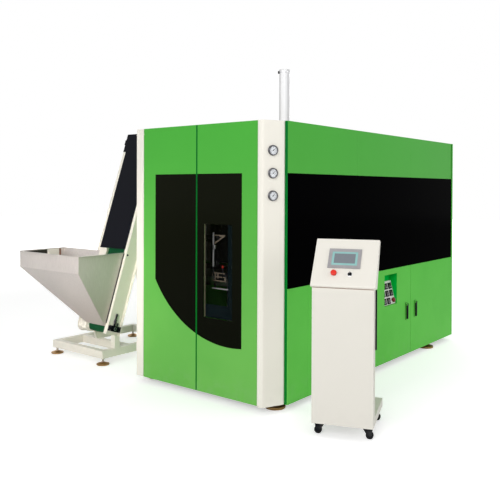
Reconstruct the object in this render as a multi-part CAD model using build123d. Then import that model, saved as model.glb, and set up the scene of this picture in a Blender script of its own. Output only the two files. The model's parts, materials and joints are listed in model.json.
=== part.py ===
from build123d import *
import math
import os

# Two-stage blow moulding machine: a panelled cabinet with the clamp unit and the preform oven
# inside, an inclined preform elevator with its hopper on the left, and a control console on castors.
# Millimetres. While modelling, X runs to the right along the front, Y to the back and Z up;
# x = 0 is the right edge of the front doors, y = 0 their outer face and z = 0 the floor.

# Cabinet shell
cabinet_height = 2100.0
cabinet_depth = 3210.0
panel_bottom = 50.0
door_span = 1195.0
left_post_width = 85.0
side_face = 152.0
lower_panel_proud = 6.0
header_height = 377.5
window_bottom = 886.5
pan_depth = 25.0
skin = 2.0
seam = 5.0
door_stand_off = 5.0
rear_swing_gap = 1.5

# Bays of the cabinet along its length
side_start = 154.0
narrow_bay_end = 414.0
front_bay_end = 1160.0
middle_bay_end = 2186.0

# Corner post with the gauges: a nose in front of the doors, then a slanted face
nose_reach = 20.0
nose_width = 55.0
nose_radius_left = 22.0
nose_radius_right = 30.0
post_slant_depth = 145.0
post_sheet = 3.0
gauge_drops = (216.0, 379.0, 540.0)
gauge_along_face = 84.0
gauge_diameter = 72.0
gauge_stand = 14.0
gauge_flange = 2.0
gauge_flange_thickness = 3.0
gauge_bevel = 2.0
gauge_rim = 5.0
gauge_dial_depth = 4.0

# Frame of square tube
tube = 60.0
wide_tube = 80.0
frame_bottom = 60.0
bed_top = 900.0
bed_plate = 12.0
bed_apron = 60.0
bed_apron_wall = 6.0

# Levelling feet
foot_disc = 155.0
foot_rim = 18.0
foot_cone_top = 34.0
foot_stud = 30.0
foot_bevel = 4.0
foot_shoulder = 0.72
foot_shoulder_rise = 1.25
foot_collar = 1.1
small_foot_disc = 117.0
small_foot_stud = 20.0
foot_inset = 40.0
foot_rows = (185.0, 1430.0, 2670.0)

# Window in the front doors: straight left and top edges, and an arc below
window_left = -1056.0
window_right = -147.0
window_arc_radius = 913.0
window_arc_x = -270.0
window_arc_bottom = 427.0
acrylic = 4.0
window_backing = 2.0
window_lap = 15.0
view_left = -520.0
view_right = -238.0
view_bottom = 627.0
view_top = 1340.0

# Door hinges: pins on lugs that reach into the pans
hinge_pin_radius = 5.0
pin_clearance = 0.05
hinge_in = 12.0
hinge_deep = 10.0
lug_thickness = 10.0
lug_width = 11.0
lug_play = 3.0
knuckle_size = 18.0
knuckle_height = 20.0
front_hinge_margin = 250.0
side_hinge_margin = 100.0

# Recess with the heating zone controls, in the near side door
recess_set_back = 291.0
recess_width = 247.0
recess_bottom = 557.0
recess_top = 837.0
recess_depth = 84.0
control_plate_top = 764.0
control_plate_set_back = 66.0
control_plate_sheet = 3.0
control_plate_front = 14.0
control_plate_lift = 3.0
module_size = 54.0
module_pitch = 76.0
module_rise = 66.0
module_stand = 7.0
module_body = 14.0
module_first_row = 36.0
module_behind = 9.0
module_cut_out = 46.0
display_margin = 8.0
display_up = 8.0
display_depth = 4.0
stop_head_radius = 22.0
stop_stem_radius = 9.0
stop_travel = 5.0
stop_head_height = 14.0
stop_head_bevel = 3.0
stop_head_flank = 4.0
stop_head_crown = 0.7

# Latches on the side doors
latch_plate_height = 156.0
latch_plate_width = 36.0
latch_plate_thickness = 6.0
latch_bottom = 381.0
latch_set_back = 96.0
latch_lever_width = 24.0
latch_lever_thickness = 12.0
latch_pin_radius = 4.0
latch_ear = 5.0
latch_ear_height = 16.0
latch_pivot_drop = 14.0
latch_lever_play = 1.0
latch_lever_rise = 4.0
latch_lever_taper = 0.8

# Vent pipe on the roof
vent_x = -27.0
vent_y = 360.0
vent_radius = 40.0
vent_wall = 1.5
vent_height = 412.0
vent_flange_radius = 75.0
vent_flange = 5.0
vent_bead = 2.0
vent_hole_gap = 3.0

# Clamp unit, behind the front doors
clamp_x = -600.0
clamp_y = 560.0
clamp_z = 1180.0
end_plate = 40.0
end_plate_offset = 450.0
end_plate_half_depth = 230.0
end_plate_top = 1430.0
tie_bar_radius = 22.5
tie_bar_half_y = 170.0
tie_bar_half_z = 190.0
platen_thickness = 50.0
platen_half_depth = 215.0
platen_half_height = 235.0
mould_thickness = 110.0
mould_half_depth = 145.0
mould_half_height = 190.0
mould_gap = 1.0
mould_stroke = 150.0
ram_radius = 30.0
barrel_radius = 55.0
bridge_plate = 40.0
bridge_half_depth = 110.0

# Bottle cavity and the rods that stretch the preforms
cavity_pitch = 150.0
cavity_radius = 48.0
cavity_neck_radius = 16.0
cavity_base_radius = 34.0
cavity_bottom = 20.0
cavity_body_top = 220.0
cavity_shoulder_top = 320.0
guide_column_radius = 15.0
guide_column_half_x = 160.0
guide_column_roof_gap = 110.0
crosshead_drop = 110.0
crosshead_thickness = 40.0
crosshead_half_x = 205.0
crosshead_half_y = 105.0
stretch_rod_radius = 7.0
stretch_rod_low = 1440.0
crosshead_low_gap = 40.0
base_mould_half_x = 60.0
base_mould_half_y = 125.0
base_mould_low = 905.0
base_mould_thickness = 38.0
base_mould_stroke = 44.0
base_plug_radius = 30.0
base_plug_height = 20.0
lift_rod_radius = 20.0
lift_rod_low = 700.0

# Oven with its chain of spindles
chain_x = -560.0
chain_front_y = 1500.0
chain_rear_y = 2700.0
chain_wheel_radius = 140.0
chain_wheel_thickness = 24.0
chain_wheel_low = 922.0
chain_wheel_holes = 6
chain_wheel_hole_radius = 26.0
chain_wheel_hole_circle = 85.0
wheel_shaft_radius = 20.0
wheel_shaft_low = 800.0
chain_clearance = 0.5
chain_band = 14.0
chain_links = 30
link_plate = 6.0
link_width = 30.0
spindle_radius = 9.0
spindle_height = 62.0
oven_front_y = 1660.0
oven_rear_y = 2540.0
oven_gap = 62.0
oven_wall = 18.0
oven_floor = 912.0
oven_top = 1300.0
lamp_radius = 6.0
lamp_count = 6
lamp_low = 1010.0
lamp_holder_reach = 18.0
lamp_holder_height = 24.0
lamp_holder_depth = 12.0
lamp_pitch = 46.0

# Elevator: a conveyor that leans to the back
elevator_angle = 71.2
elevator_foot_y = 183.0
elevator_foot_z = 277.0
elevator_over_roof = 53.0
rail_right = -1897.0
rail_left = -2338.0
rail_flange = 42.0
rail_rear_flange = 28.0
rail_depth = 145.0
rail_sheet = 4.0
left_flange_start = 128.0
guard_plate_right = -2196.0
guard_corner = 20.0
tie_shares = (0.21, 0.5, 0.79)
tie_half_length = 30.0
tie_half_thickness = 12.0

# Belt with its drums
belt_left = -2190.0
belt_right = -1946.0
belt_thickness = 5.0
belt_clearance = 0.4
drum_radius = 47.0
drum_overhang = 6.0
drum_low = 58.0
drum_top_gap = 75.0
drum_shaft_radius = 15.0
cleat_height = 16.0
cleat_thickness = 6.0
cleat_pitch = 150.0
cleat_inset = 8.0

# Cover over the belt, wider at its head
cover_start = 797.0
cover_inset = 37.0
cover_sheet = 3.0
cover_cap_length = 182.0
cover_top_gap = 6.0
cover_top_return = 120.0

# Bearing blocks with their screws, and the belt's drive
bearing_along = 52.0
bearing_across = 134.0
bearing_thickness = 22.0
take_up_rod_radius = 8.0
take_up_rod_length = 110.0
take_up_rod_offset = 10.0
lock_screw_radius = 6.0
lock_screw_length = 30.0
lock_screw_offset = -24.0
shaft_end = 26.0
drive_housing_radius = 66.0
drive_cap_radius = 48.0
drive_cap_length = 14.0
drive_groove = 5.0
drive_groove_depth = 4.0
drive_belt_gap = 7.0
drive_motor_radius = 45.0
drive_motor_length = 210.0

# Drive of the oven's chain, under the bed
chain_box_half = 70.0
chain_box_drop = 60.0
chain_motor_radius = 60.0
chain_motor_length = 200.0

# Elevator base
base_left = -2620.0
base_right = -1870.0
base_front = 120.0
base_rear = 1150.0
base_tube = 60.0
base_tube_height = 70.0
second_beam = 430.0
strut_top_gap = 572.0
strut_width = 60.0
strut_foot = 50.0
leg_front = 83.0
leg_inset = 28.0

# Chute that takes the preforms from the elevator into the cabinet
chute_drop = 305.0
chute_fall = 148.0
chute_behind_rails = 25.0
chute_width = 110.0
chute_wall = 60.0
chute_sheet = 3.0
chute_end_x = -1000.0
chute_back_rise = 192.0
chute_bracket_half = 18.0
chute_bracket_reach = 45.0
inlet_margin = 15.0

# Hopper of folded stainless sheet
hopper_left = -2850.0
hopper_right = -1937.0
hopper_front = -95.0
hopper_rim = 1000.0
hopper_fold = 845.0
hopper_outlet_z = 338.0
hopper_outlet_front = 200.0
hopper_outlet_left = -2195.0
hopper_sheet = 3.0
hopper_lip = 20.0

# Console
console_x = 547.0
console_y = -126.0
console_turn = 20.7
console_width = 400.0
console_base_depth = 500.0
console_base_height = 55.0
console_floor_gap = 85.0
column_depth = 80.0
column_top = 975.0
head_side_lap = 10.0
head_front_lap = 20.0
head_rise = 297.0
head_lean = 230.0
head_top_depth = 38.0
head_back_low = 90.0
console_sheet = 3.0
head_edge_radius = 14.0
screen_left = 87.0
screen_width = 215.0
screen_low = 147.0
screen_height = 148.0
screen_thickness = 8.0
screen_glass_margin_x = 25.0
screen_glass_margin_y = 33.0
screen_glass_recess = 2.0
console_stop_x = 135.0
console_stop_up = 106.0
console_stop_radius = 20.0
selector_x = 240.0
selector_up = 104.0
selector_radius = 13.0
control_stem_radius = 8.0
rear_cover_low = 573.0
rear_cover_high = 958.0
rear_cover_depth = 20.0
rear_cover_lap = 9.0

# Castors
castor_inset_x = 45.0
castor_front_y = 68.0
castor_rear_y = 440.0
castor_plate = 4.0
castor_plate_half = 38.0
castor_wheel_radius = 25.0
castor_wheel_half_width = 10.0
castor_trail = 14.0
castor_cheek = 3.0
castor_cheek_gap = 1.5
castor_axle_radius = 4.0
castor_stem_radius = 6.0
castor_crown = 6.0
castor_crown_gap = 0.3

# Worked-out places
seat = 0.3
beyond = 1.0
header_bottom = cabinet_height - header_height
window_top = header_bottom
front_hinge_heights = (panel_bottom + front_hinge_margin, (panel_bottom + cabinet_height) / 2,
                       cabinet_height - front_hinge_margin)
side_hinge_heights = (panel_bottom + side_hinge_margin, window_bottom - side_hinge_margin)
recess_far = middle_bay_end - recess_set_back
recess_near = recess_far - recess_width
near_latch_y = middle_bay_end - latch_set_back
far_latch_y = middle_bay_end + latch_set_back
guide_column_top = cabinet_height - guide_column_roof_gap
crosshead_bottom = guide_column_top - crosshead_drop
stretch_stroke = crosshead_bottom - end_plate_top - bridge_plate - crosshead_low_gap
lower_face = side_face + lower_panel_proud
left_face = -door_span - left_post_width
frame_right = side_face - pan_depth
frame_left = left_face + pan_depth
frame_front = pan_depth + door_stand_off
frame_rear = cabinet_depth - pan_depth
frame_top = cabinet_height - pan_depth
centre_seam = -door_span / 2
post_face_end = side_face - pan_depth
post_slant = math.atan2(post_face_end - nose_width, post_slant_depth + nose_reach)
jamb_left = -wide_tube + tube / 2 + seam
lower_door_depth = lower_face - frame_right - door_stand_off
side_end = frame_rear - seam / 2
lean = math.radians(elevator_angle)
elevator_top = cabinet_height + elevator_over_roof
elevator_length = (elevator_top - elevator_foot_z) / math.sin(lean)
chute_start_x = rail_left - rail_rear_flange
chute_start_z = elevator_top - chute_drop
chute_end_z = chute_start_z - chute_fall
chute_back_top = chute_start_z + chute_back_rise
chute_front = (elevator_foot_y + (chute_start_z - elevator_foot_z) / math.tan(lean)
               + rail_depth / math.sin(lean) + chute_behind_rails)
chute_rear = chute_front + chute_width


def span(x0, x1, y0, y1, z0, z1):
    """A box between two corners."""
    return Pos(x0, y0, z0) * Box(x1 - x0, y1 - y0, z1 - z0, align=(Align.MIN, Align.MIN, Align.MIN))


def prism(points, low, high):
    """A plan outline raised from low to high."""
    return Pos(0, 0, low) * extrude(make_face(Polyline(*points, close=True)), high - low)


def profile_x(points, x0, x1):
    """An outline in Y and Z, carried along X from x0 to x1."""
    plane = Plane(origin=(x0, 0, 0), x_dir=(0, 1, 0), z_dir=(1, 0, 0))
    return extrude(plane * make_face(Polyline(*points, close=True)), x1 - x0)


def rod_x(x0, x1, y, z, radius):
    """A round bar along X."""
    return Pos((x0 + x1) / 2, y, z) * Rot(0, 90, 0) * Cylinder(radius, x1 - x0)


def rod_y(y0, y1, x, z, radius):
    """A round bar along Y."""
    return Pos(x, (y0 + y1) / 2, z) * Rot(90, 0, 0) * Cylinder(radius, y1 - y0)


def rod_z(z0, z1, x, y, radius):
    """A round bar along Z."""
    return Pos(x, y, (z0 + z1) / 2) * Cylinder(radius, z1 - z0)


def pan(x0, x1, y0, y1, z0, z1, open_side):
    """A folded sheet pan: a box hollowed out towards its open side."""
    low = [x0 + skin, y0 + skin, z0 + skin]
    high = [x1 - skin, y1 - skin, z1 - skin]
    axis = "xyz".index(open_side[1])
    if open_side[0] == "+":
        high[axis] += 2 * skin
    else:
        low[axis] -= 2 * skin
    return span(x0, x1, y0, y1, z0, z1) - span(low[0], high[0], low[1], high[1], low[2], high[2])


def group(solids):
    """Separate solids that share one node."""
    return Compound(children=[solid for piece in solids for solid in piece.solids()])


# Frame


def base_frame():
    """Bottom perimeter, two cross members and the link at the slanted corner."""
    top = frame_bottom + tube
    beams = span(frame_left, nose_width, frame_front, frame_front + tube, frame_bottom, top)
    beams += span(nose_width - tube, nose_width, frame_front, side_start + tube, frame_bottom, top)
    beams += span(frame_left, frame_right, frame_rear - tube, frame_rear, frame_bottom, top)
    beams += span(frame_left, frame_left + tube, frame_front, frame_rear, frame_bottom, top)
    beams += span(frame_right - tube, frame_right, side_start, frame_rear, frame_bottom, top)
    for y in (front_bay_end, middle_bay_end):
        beams += span(frame_left, frame_right, y - tube / 2, y + tube / 2, frame_bottom, top)
    return beams


def upright_places():
    """Plan rectangles of the uprights: x0, x1, y0, y1."""
    left = (frame_left, frame_left + tube)
    right = (frame_right - tube, frame_right)
    places = [(frame_left, frame_left + wide_tube, frame_front, frame_front + tube)]
    places.append((jamb_left, jamb_left + tube, frame_front, frame_front + tube))
    places.append((*right, side_start, side_start + tube))
    for y in (front_bay_end, middle_bay_end):
        places.append((*left, y - tube / 2, y + tube / 2))
        places.append((*right, y - tube / 2, y + tube / 2))
    places.append((*left, frame_rear - tube, frame_rear))
    places.append((*right, frame_rear - tube, frame_rear))
    return places


def upper_frame():
    """Uprights on the base frame, and the beams that carry the roof."""
    low = frame_bottom + tube
    beam = frame_top - tube
    body = span(frame_left, nose_width, frame_front, frame_front + tube, beam, frame_top)
    body += span(nose_width - tube, nose_width, frame_front, side_start + tube, beam, frame_top)
    body += span(frame_left, frame_right, frame_rear - tube, frame_rear, beam, frame_top)
    body += span(frame_left, frame_left + tube, frame_front, frame_rear, beam, frame_top)
    body += span(frame_right - tube, frame_right, side_start, frame_rear, beam, frame_top)
    for y in (front_bay_end, middle_bay_end):
        body += span(frame_left, frame_right, y - tube / 2, y + tube / 2, beam, frame_top)
    for x0, x1, y0, y1 in upright_places():
        body += span(x0, x1, y0, y1, low, frame_top)
    return body


def bed_table():
    """Bed plate with aprons, between the uprights, bored for the lift rod and the wheel shafts."""
    x0 = frame_left + tube
    x1 = frame_right - tube
    y0 = side_start + tube
    y1 = frame_rear - tube
    low = bed_top - bed_apron
    wall = bed_apron_wall
    table = span(x0, x1, y0, y1, low, bed_top)
    table -= span(x0 + wall, x1 - wall, y0 + wall, y1 - wall, low - wall, bed_top - bed_plate)
    table -= rod_z(low, bed_top + wall, clamp_x, clamp_y, lift_rod_radius + pin_clearance)
    for y in (chain_front_y, chain_rear_y):
        table -= rod_z(low, bed_top + wall, chain_x, y, wheel_shaft_radius + pin_clearance)
    return table


def foot(disc, stud, top):
    """A levelling foot: a turned disc with a cone and its stud."""
    rim = disc / 2
    edge = foot_rim * disc / foot_disc
    cone = foot_cone_top * disc / foot_disc
    points = [(0, 0), (rim - foot_bevel, 0), (rim, foot_bevel), (rim, edge)]
    points += [(rim * foot_shoulder, edge * foot_shoulder_rise), (stud * foot_collar, cone)]
    points += [(stud / 2, cone), (stud / 2, top), (0, top)]
    return revolve(Plane.XZ * make_face(Polyline(*points, close=True)), Axis.Z)


def foot_places():
    """Centres of the cabinet's feet, under the base frame."""
    front = foot_rows[0]
    places = [(frame_left + tube / 2, front), (nose_width - tube / 2, front)]
    for y in foot_rows[1:]:
        places.append((frame_left + tube / 2, y))
        places.append((frame_right - tube / 2, y))
    return places


def small_foot_places():
    """Centres of the elevator's feet, under the corners of its base."""
    inset = base_tube / 2
    places = []
    for x in (base_left + inset, base_right - inset):
        for y in (base_front + inset, base_rear - inset):
            places.append((x, y))
    return places


def levelling_feet():
    """All levelling feet of the cabinet and the elevator."""
    feet = [Pos(x, y, 0) * foot(foot_disc, foot_stud, frame_bottom) for x, y in foot_places()]
    feet += [Pos(x, y, 0) * foot(small_foot_disc, small_foot_stud, frame_bottom) for x, y in small_foot_places()]
    return group(feet)


# Posts and fixed panels


def corner_post_right():
    """Folded post: rounded nose, slanted face and a return on the side upright."""
    x0 = seam / 2
    back = side_start - seat
    corners = [(x0, back), (x0, -nose_reach), (nose_width, -nose_reach)]
    corners += [(post_face_end, post_slant_depth), (post_face_end, back)]
    outline = make_face(Polyline(*corners, close=True))
    front_corners = outline.vertices().filter_by_position(Axis.Y, -nose_reach - 1, -nose_reach + 1).sort_by(Axis.X)
    outline = fillet(front_corners[0], nose_radius_left)
    outline = fillet(outline.vertices().sort_by(Axis((0, 0, 0), (1, -1, 0)))[-1], nose_radius_right)
    inner = offset(outline, amount=-post_sheet)
    height = cabinet_height - panel_bottom
    body = extrude(outline, height) - extrude(inner, height - post_sheet)
    body -= span(x0 - 1, x0 + post_sheet + 1, frame_front - seat, back + 1, -1, height - post_sheet)
    body -= span(x0 - 1, post_face_end - tube / 2, back - post_sheet - 1, back + 1, -1, height - post_sheet)
    return Pos(0, 0, panel_bottom) * body


def corner_post_left():
    """Folded post beside the left door, with a leg along the left wall."""
    right = -door_span - seam / 2
    leg = frame_front + tube
    outline = [(left_face, 0), (right, 0), (right, frame_front), (right - post_sheet, frame_front)]
    outline += [(right - post_sheet, post_sheet), (left_face + post_sheet, post_sheet)]
    outline += [(left_face + post_sheet, leg - post_sheet), (frame_left, leg - post_sheet)]
    outline += [(frame_left, leg), (left_face, leg)]
    return prism(outline, panel_bottom, cabinet_height)


def roof_panel():
    """Roof pan on the upper frame, with a hole under the vent pipe."""
    roof = pan(frame_left + seat, frame_right - seat, frame_front, frame_rear - seat,
               frame_top + seat, cabinet_height, "-z")
    roof -= span(seam / 2 - seat, frame_right + 1, frame_front - 1, side_start, frame_top - 1, cabinet_height + 1)
    return roof - rod_z(frame_top, cabinet_height + 1, vent_x, vent_y, vent_radius + vent_hole_gap)


def bay_edges():
    """The panels' lengths along the side, with half a seam off each end."""
    stops = [side_start - seam / 2, front_bay_end, middle_bay_end, side_end + seam / 2]
    return [(a + seam / 2, b - seam / 2) for a, b in zip(stops, stops[1:])]


def side_header_panels():
    """Green band along the top of the right side."""
    low = header_bottom + skin / 2
    inner = frame_right + seat
    return group([pan(inner, side_face, y0, y1, low, cabinet_height, "-x") for y0, y1 in bay_edges()])


def side_window_panels():
    """Black acrylic-faced panels along the middle of the right side."""
    low = window_bottom + skin / 2
    high = header_bottom - skin / 2
    inner = frame_right + seat
    return group([pan(inner, side_face, y0, y1, low, high, "-x") for y0, y1 in bay_edges()])


def inlet_height(x):
    """Height of the chute's floor at x."""
    share = (x - chute_start_x) / (chute_end_x - chute_start_x)
    return chute_start_z + (chute_end_z - chute_start_z) * share


def fixed_wall_panels():
    """Fixed panels: two low ones on the right, three on the left and one at the back."""
    high = window_bottom - skin / 2
    half = seam / 2
    right = frame_right + seat
    left = frame_left - seat
    rear = frame_rear + seat
    near = side_start + seat
    panels = [pan(right, lower_face, near, narrow_bay_end - half, panel_bottom, high, "-x")]
    panels.append(pan(right, lower_face, narrow_bay_end + half, front_bay_end - half, panel_bottom, high, "-x"))
    starts = [frame_front + tube + half, front_bay_end + half, middle_bay_end + half]
    ends = [front_bay_end - half, middle_bay_end - half, frame_rear - half]
    inlet = inlet_height(left_face)
    sill = inlet_height(left_face + skin) - seat
    hole = span(left_face - 1, frame_left + 1, chute_front - inlet_margin, chute_rear + inlet_margin,
                sill, inlet + chute_wall + inlet_margin)
    for y0, y1 in zip(starts, ends):
        panels.append(pan(left_face, left, y0, y1, panel_bottom, cabinet_height, "+x") - hole)
    panels.append(pan(left_face, lower_face, rear, cabinet_depth, panel_bottom, cabinet_height, "-y"))
    return group(panels)


def vent_pipe():
    """Thin round pipe with a base flange and a rolled bead at its mouth."""
    low = cabinet_height
    high = cabinet_height + vent_height
    inner = vent_radius - vent_wall
    points = [(inner, low), (vent_flange_radius, low), (vent_flange_radius, low + vent_flange)]
    points += [(vent_radius, low + vent_flange), (vent_radius, high - 3 * vent_bead)]
    points += [(vent_radius + vent_bead, high - 2 * vent_bead), (vent_radius + vent_bead, high - vent_bead)]
    points += [(vent_radius, high), (inner, high)]
    return Pos(vent_x, vent_y, 0) * revolve(Plane.XZ * make_face(Polyline(*points, close=True)), Axis.Z)


def pressure_gauges():
    """Three round gauges on the slanted face: flange, bezel and a sunk dial."""
    rim = gauge_diameter / 2
    flange = rim + gauge_flange
    points = [(0, 0), (flange, 0), (flange, gauge_flange_thickness), (rim, gauge_flange_thickness + gauge_flange)]
    points += [(rim, gauge_stand - gauge_bevel), (rim - gauge_bevel, gauge_stand), (rim - gauge_rim, gauge_stand)]
    dial = gauge_stand - gauge_dial_depth
    points += [(rim - gauge_rim - beyond, dial), (0, dial)]
    gauge = revolve(Plane.XZ * make_face(Polyline(*points, close=True)), Axis.Z)
    x = nose_width + gauge_along_face * math.sin(post_slant)
    y = -nose_reach + gauge_along_face * math.cos(post_slant)
    normal = (math.cos(post_slant), -math.sin(post_slant), 0)
    heights = [cabinet_height - drop for drop in gauge_drops]
    places = [Plane(origin=(x, y, z), z_dir=normal, x_dir=(0, 0, 1)) for z in heights]
    return group([place.location * gauge for place in places])


# Doors


def window_outline():
    """Face of the whole window, in the plane of the doors."""
    def arc_height(x):
        centre = window_arc_bottom + window_arc_radius
        return centre - math.sqrt(window_arc_radius ** 2 - (x - window_arc_x) ** 2)

    left = (window_left, arc_height(window_left))
    right = (window_right, arc_height(window_right))
    middle_x = (window_left + window_right) / 2
    sides = Polyline(right, (window_right, window_top), (window_left, window_top), left)
    return make_face(sides + ThreePointArc(left, (middle_x, arc_height(middle_x)), right))


def in_front_plane(face, y0, y1):
    """A face drawn in X and Z, carried from y0 back to y1."""
    plane = Plane(origin=(0, y0, 0), x_dir=(1, 0, 0), z_dir=(0, -1, 0))
    return extrude(plane * face, -(y1 - y0))


def leaf_edges(side):
    """Left and right edges of a front door leaf."""
    if side == "left":
        return -door_span + seam / 2, centre_seam - seam / 2
    return centre_seam + seam / 2, -seam / 2


def leaf_slice(side, margin, y1):
    """The room inside a leaf's edges, less a margin, for what is set into it."""
    x0, x1 = leaf_edges(side)
    return span(x0 + margin, x1 - margin, -1, y1, panel_bottom + margin, cabinet_height - margin)


def knuckles(x, y, heights):
    """Blocks with bores, above and below each lug."""
    half = lug_thickness / 2 + 0.5
    blocks = None
    for z in heights:
        for low in (z + half, z - half - knuckle_height):
            block = Pos(x, y, low + knuckle_height / 2) * Box(knuckle_size, knuckle_size, knuckle_height)
            blocks = block if blocks is None else blocks + block
    return blocks


def pin_bores(x, y, heights):
    """Bores for the hinge pins."""
    reach = lug_thickness / 2 + knuckle_height + 1
    bores = None
    for z in heights:
        bore = rod_z(z - reach, z + reach, x, y, hinge_pin_radius + pin_clearance)
        bores = bore if bores is None else bores + bore
    return bores


def front_hinge_axis(side):
    """Place of a leaf's hinge pins in plan."""
    x0, x1 = leaf_edges(side)
    return (x0 + hinge_in if side == "left" else x1 - hinge_in), hinge_deep


def front_door(side):
    """Door leaf: a pan with a sunk field for the acrylic, a view opening and its hinge knuckles."""
    x0, x1 = leaf_edges(side)
    leaf = pan(x0, x1, 0, pan_depth, panel_bottom, cabinet_height, "+y")
    outline = window_outline()
    depth = acrylic + window_backing
    pad = in_front_plane(offset(outline, amount=window_lap), skin, depth) & leaf_slice(side, skin, pan_depth)
    leaf += pad
    leaf -= in_front_plane(outline, -1, acrylic) & leaf_slice(side, skin, acrylic)
    if side == "right":
        leaf -= span(view_left, view_right, -1, pan_depth, view_bottom, view_top)
    hinge_x, hinge_y = front_hinge_axis(side)
    room = leaf_slice(side, skin / 2, pan_depth) & span(x0, x1, skin / 2, pan_depth, 0, cabinet_height)
    leaf += knuckles(hinge_x, hinge_y + skin / 2, front_hinge_heights) & room
    leaf -= pin_bores(hinge_x, hinge_y, front_hinge_heights)
    edge = x0 if side == "left" else x1 - skin
    half = lug_thickness / 2 + lug_play
    for z in front_hinge_heights:
        leaf -= span(edge - 1, edge + skin + 1, skin, pan_depth + 1, z - half, z + half)
    return leaf


def front_window(side):
    """Tinted acrylic, flush in the sunk field of a leaf."""
    gap = skin + seat
    sheet = in_front_plane(offset(window_outline(), amount=-seat), 0, acrylic)
    return sheet & leaf_slice(side, gap, acrylic + 1)


def hinge_lugs():
    """Lugs on the uprights with the pins that the doors turn on."""
    lugs = []
    reach = lug_thickness / 2 + knuckle_height
    for side in ("left", "right"):
        x, y = front_hinge_axis(side)
        for z in front_hinge_heights:
            low = z - lug_thickness / 2
            lug = span(x - lug_width / 2, x + lug_width / 2, y, frame_front, low, low + lug_thickness)
            lug += rod_z(low, low + lug_thickness, x, y, lug_width / 2)
            lugs.append(lug + rod_z(z - reach, z + reach, x, y, hinge_pin_radius))
    for y in (side_hinge_y("near"), side_hinge_y("far")):
        x = lower_face - hinge_deep
        for z in side_hinge_heights:
            low = z - lug_thickness / 2
            lug = span(frame_right, x, y - lug_width / 2, y + lug_width / 2, low, low + lug_thickness)
            lug += rod_z(low, low + lug_thickness, x, y, lug_width / 2)
            lugs.append(lug + rod_z(z - reach, z + reach, x, y, hinge_pin_radius))
    return group(lugs)


def side_door_edges(which):
    """Near and far edges of a side door."""
    if which == "near":
        return front_bay_end + seam / 2, middle_bay_end - seam / 2
    return middle_bay_end + seam / 2, side_end - rear_swing_gap


def side_hinge_y(which):
    """Place of a side door's hinge pins along the side."""
    y0, y1 = side_door_edges(which)
    return y0 + hinge_in if which == "near" else y1 - hinge_in


def latch_pivot_height():
    """Height of the levers' pivot pins."""
    return latch_bottom + latch_plate_height - latch_pivot_drop


def latch_pin_x():
    """Distance of the pivot pins from the cabinet's middle plane."""
    return lower_face + latch_plate_thickness + latch_lever_play + latch_lever_thickness / 2


def latch_base(y):
    """Latch plate on a door, with two ears that carry the lever's pin."""
    half = latch_plate_width / 2
    top = latch_bottom + latch_plate_height
    x1 = lower_face + latch_plate_thickness
    plate = span(lower_face - skin / 2, x1, y - half, y + half, latch_bottom, top)
    pin_x = latch_pin_x()
    pin_z = latch_pivot_height()
    reach = pin_x + latch_lever_thickness / 2 + latch_lever_play
    rise = latch_ear_height / 2
    ears = span(x1 - beyond, reach, y - half, y + half, pin_z - rise, pin_z + rise)
    slot = latch_plate_width / 2 - latch_ear
    ears -= span(x1, reach + beyond, y - slot, y + slot, pin_z - rise - beyond, pin_z + rise + beyond)
    ears -= rod_y(y - half - beyond, y + half + beyond, pin_x, pin_z, latch_pin_radius + pin_clearance)
    return plate + ears


def latch_lever(y):
    """Upright lever with its pivot pin, tapered towards the finger end."""
    pin_x = latch_pin_x()
    pin_z = latch_pivot_height()
    low = latch_bottom + latch_lever_rise
    half = latch_lever_width / 2
    round_end = latch_lever_thickness / 2
    tip = half * latch_lever_taper
    shoulder = pin_z - 2 * round_end
    points = [(y - half, shoulder), (y - tip, low), (y + tip, low), (y + half, shoulder)]
    blade = profile_x(points, pin_x - round_end, pin_x + round_end)
    blade += span(pin_x - round_end, pin_x + round_end, y - half, y + half, shoulder, pin_z)
    blade += rod_y(y - half, y + half, pin_x, pin_z, round_end)
    reach = latch_plate_width / 2
    return blade + rod_y(y - reach, y + reach, pin_x, pin_z, latch_pin_radius)


def side_door(which):
    """Side door pan with hinge knuckles and a latch; the near one holds the recess."""
    y0, y1 = side_door_edges(which)
    high = window_bottom - skin / 2
    inner = lower_face - lower_door_depth
    door = pan(inner, lower_face, y0, y1, panel_bottom, high, "-x")
    if which == "near":
        back = lower_face - recess_depth
        door += span(back, lower_face - skin / 2, recess_near - skin, recess_far + skin,
                     recess_bottom - skin, recess_top + skin)
        door -= span(back + skin, lower_face + 1, recess_near, recess_far, recess_bottom, recess_top)
    hinge_y = side_hinge_y(which)
    hinge_x = lower_face - hinge_deep
    room = span(inner, lower_face - skin / 2, y0 + skin / 2, y1 - skin / 2, panel_bottom, high)
    door += knuckles(hinge_x - skin / 2, hinge_y, side_hinge_heights) & room
    door -= pin_bores(hinge_x, hinge_y, side_hinge_heights)
    edge = y0 if which == "near" else y1 - skin
    half = lug_thickness / 2 + lug_play
    for z in side_hinge_heights:
        door -= span(inner - 1, lower_face - skin, edge - 1, edge + skin + 1, z - half, z + half)
    return door + latch_base(near_latch_y if which == "near" else far_latch_y)


# Heating zone controls


def control_plane():
    """Plane of the sloped control plate: x along the door, y up the slope, z outwards."""
    rise = control_plate_top - recess_bottom
    front = lower_face - control_plate_front
    back = lower_face - control_plate_set_back
    normal = Vector(rise, 0, front - back).normalized()
    origin = Vector(front, (recess_near + recess_far) / 2, recess_bottom)
    plane = Plane(origin=origin, x_dir=(0, 1, 0), z_dir=normal)
    return plane, math.hypot(rise, front - back)


def module_places():
    """Centres of the controllers on the plate: three columns, three rows, less the button's place."""
    places = []
    for row in range(3):
        for column in range(3):
            if row == 0 and column == 2:
                continue
            places.append(((column - 1) * module_pitch, module_first_row + row * module_rise))
    return places


def stop_place():
    """Centre of the stop button on the plate."""
    return module_pitch, module_first_row


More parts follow.
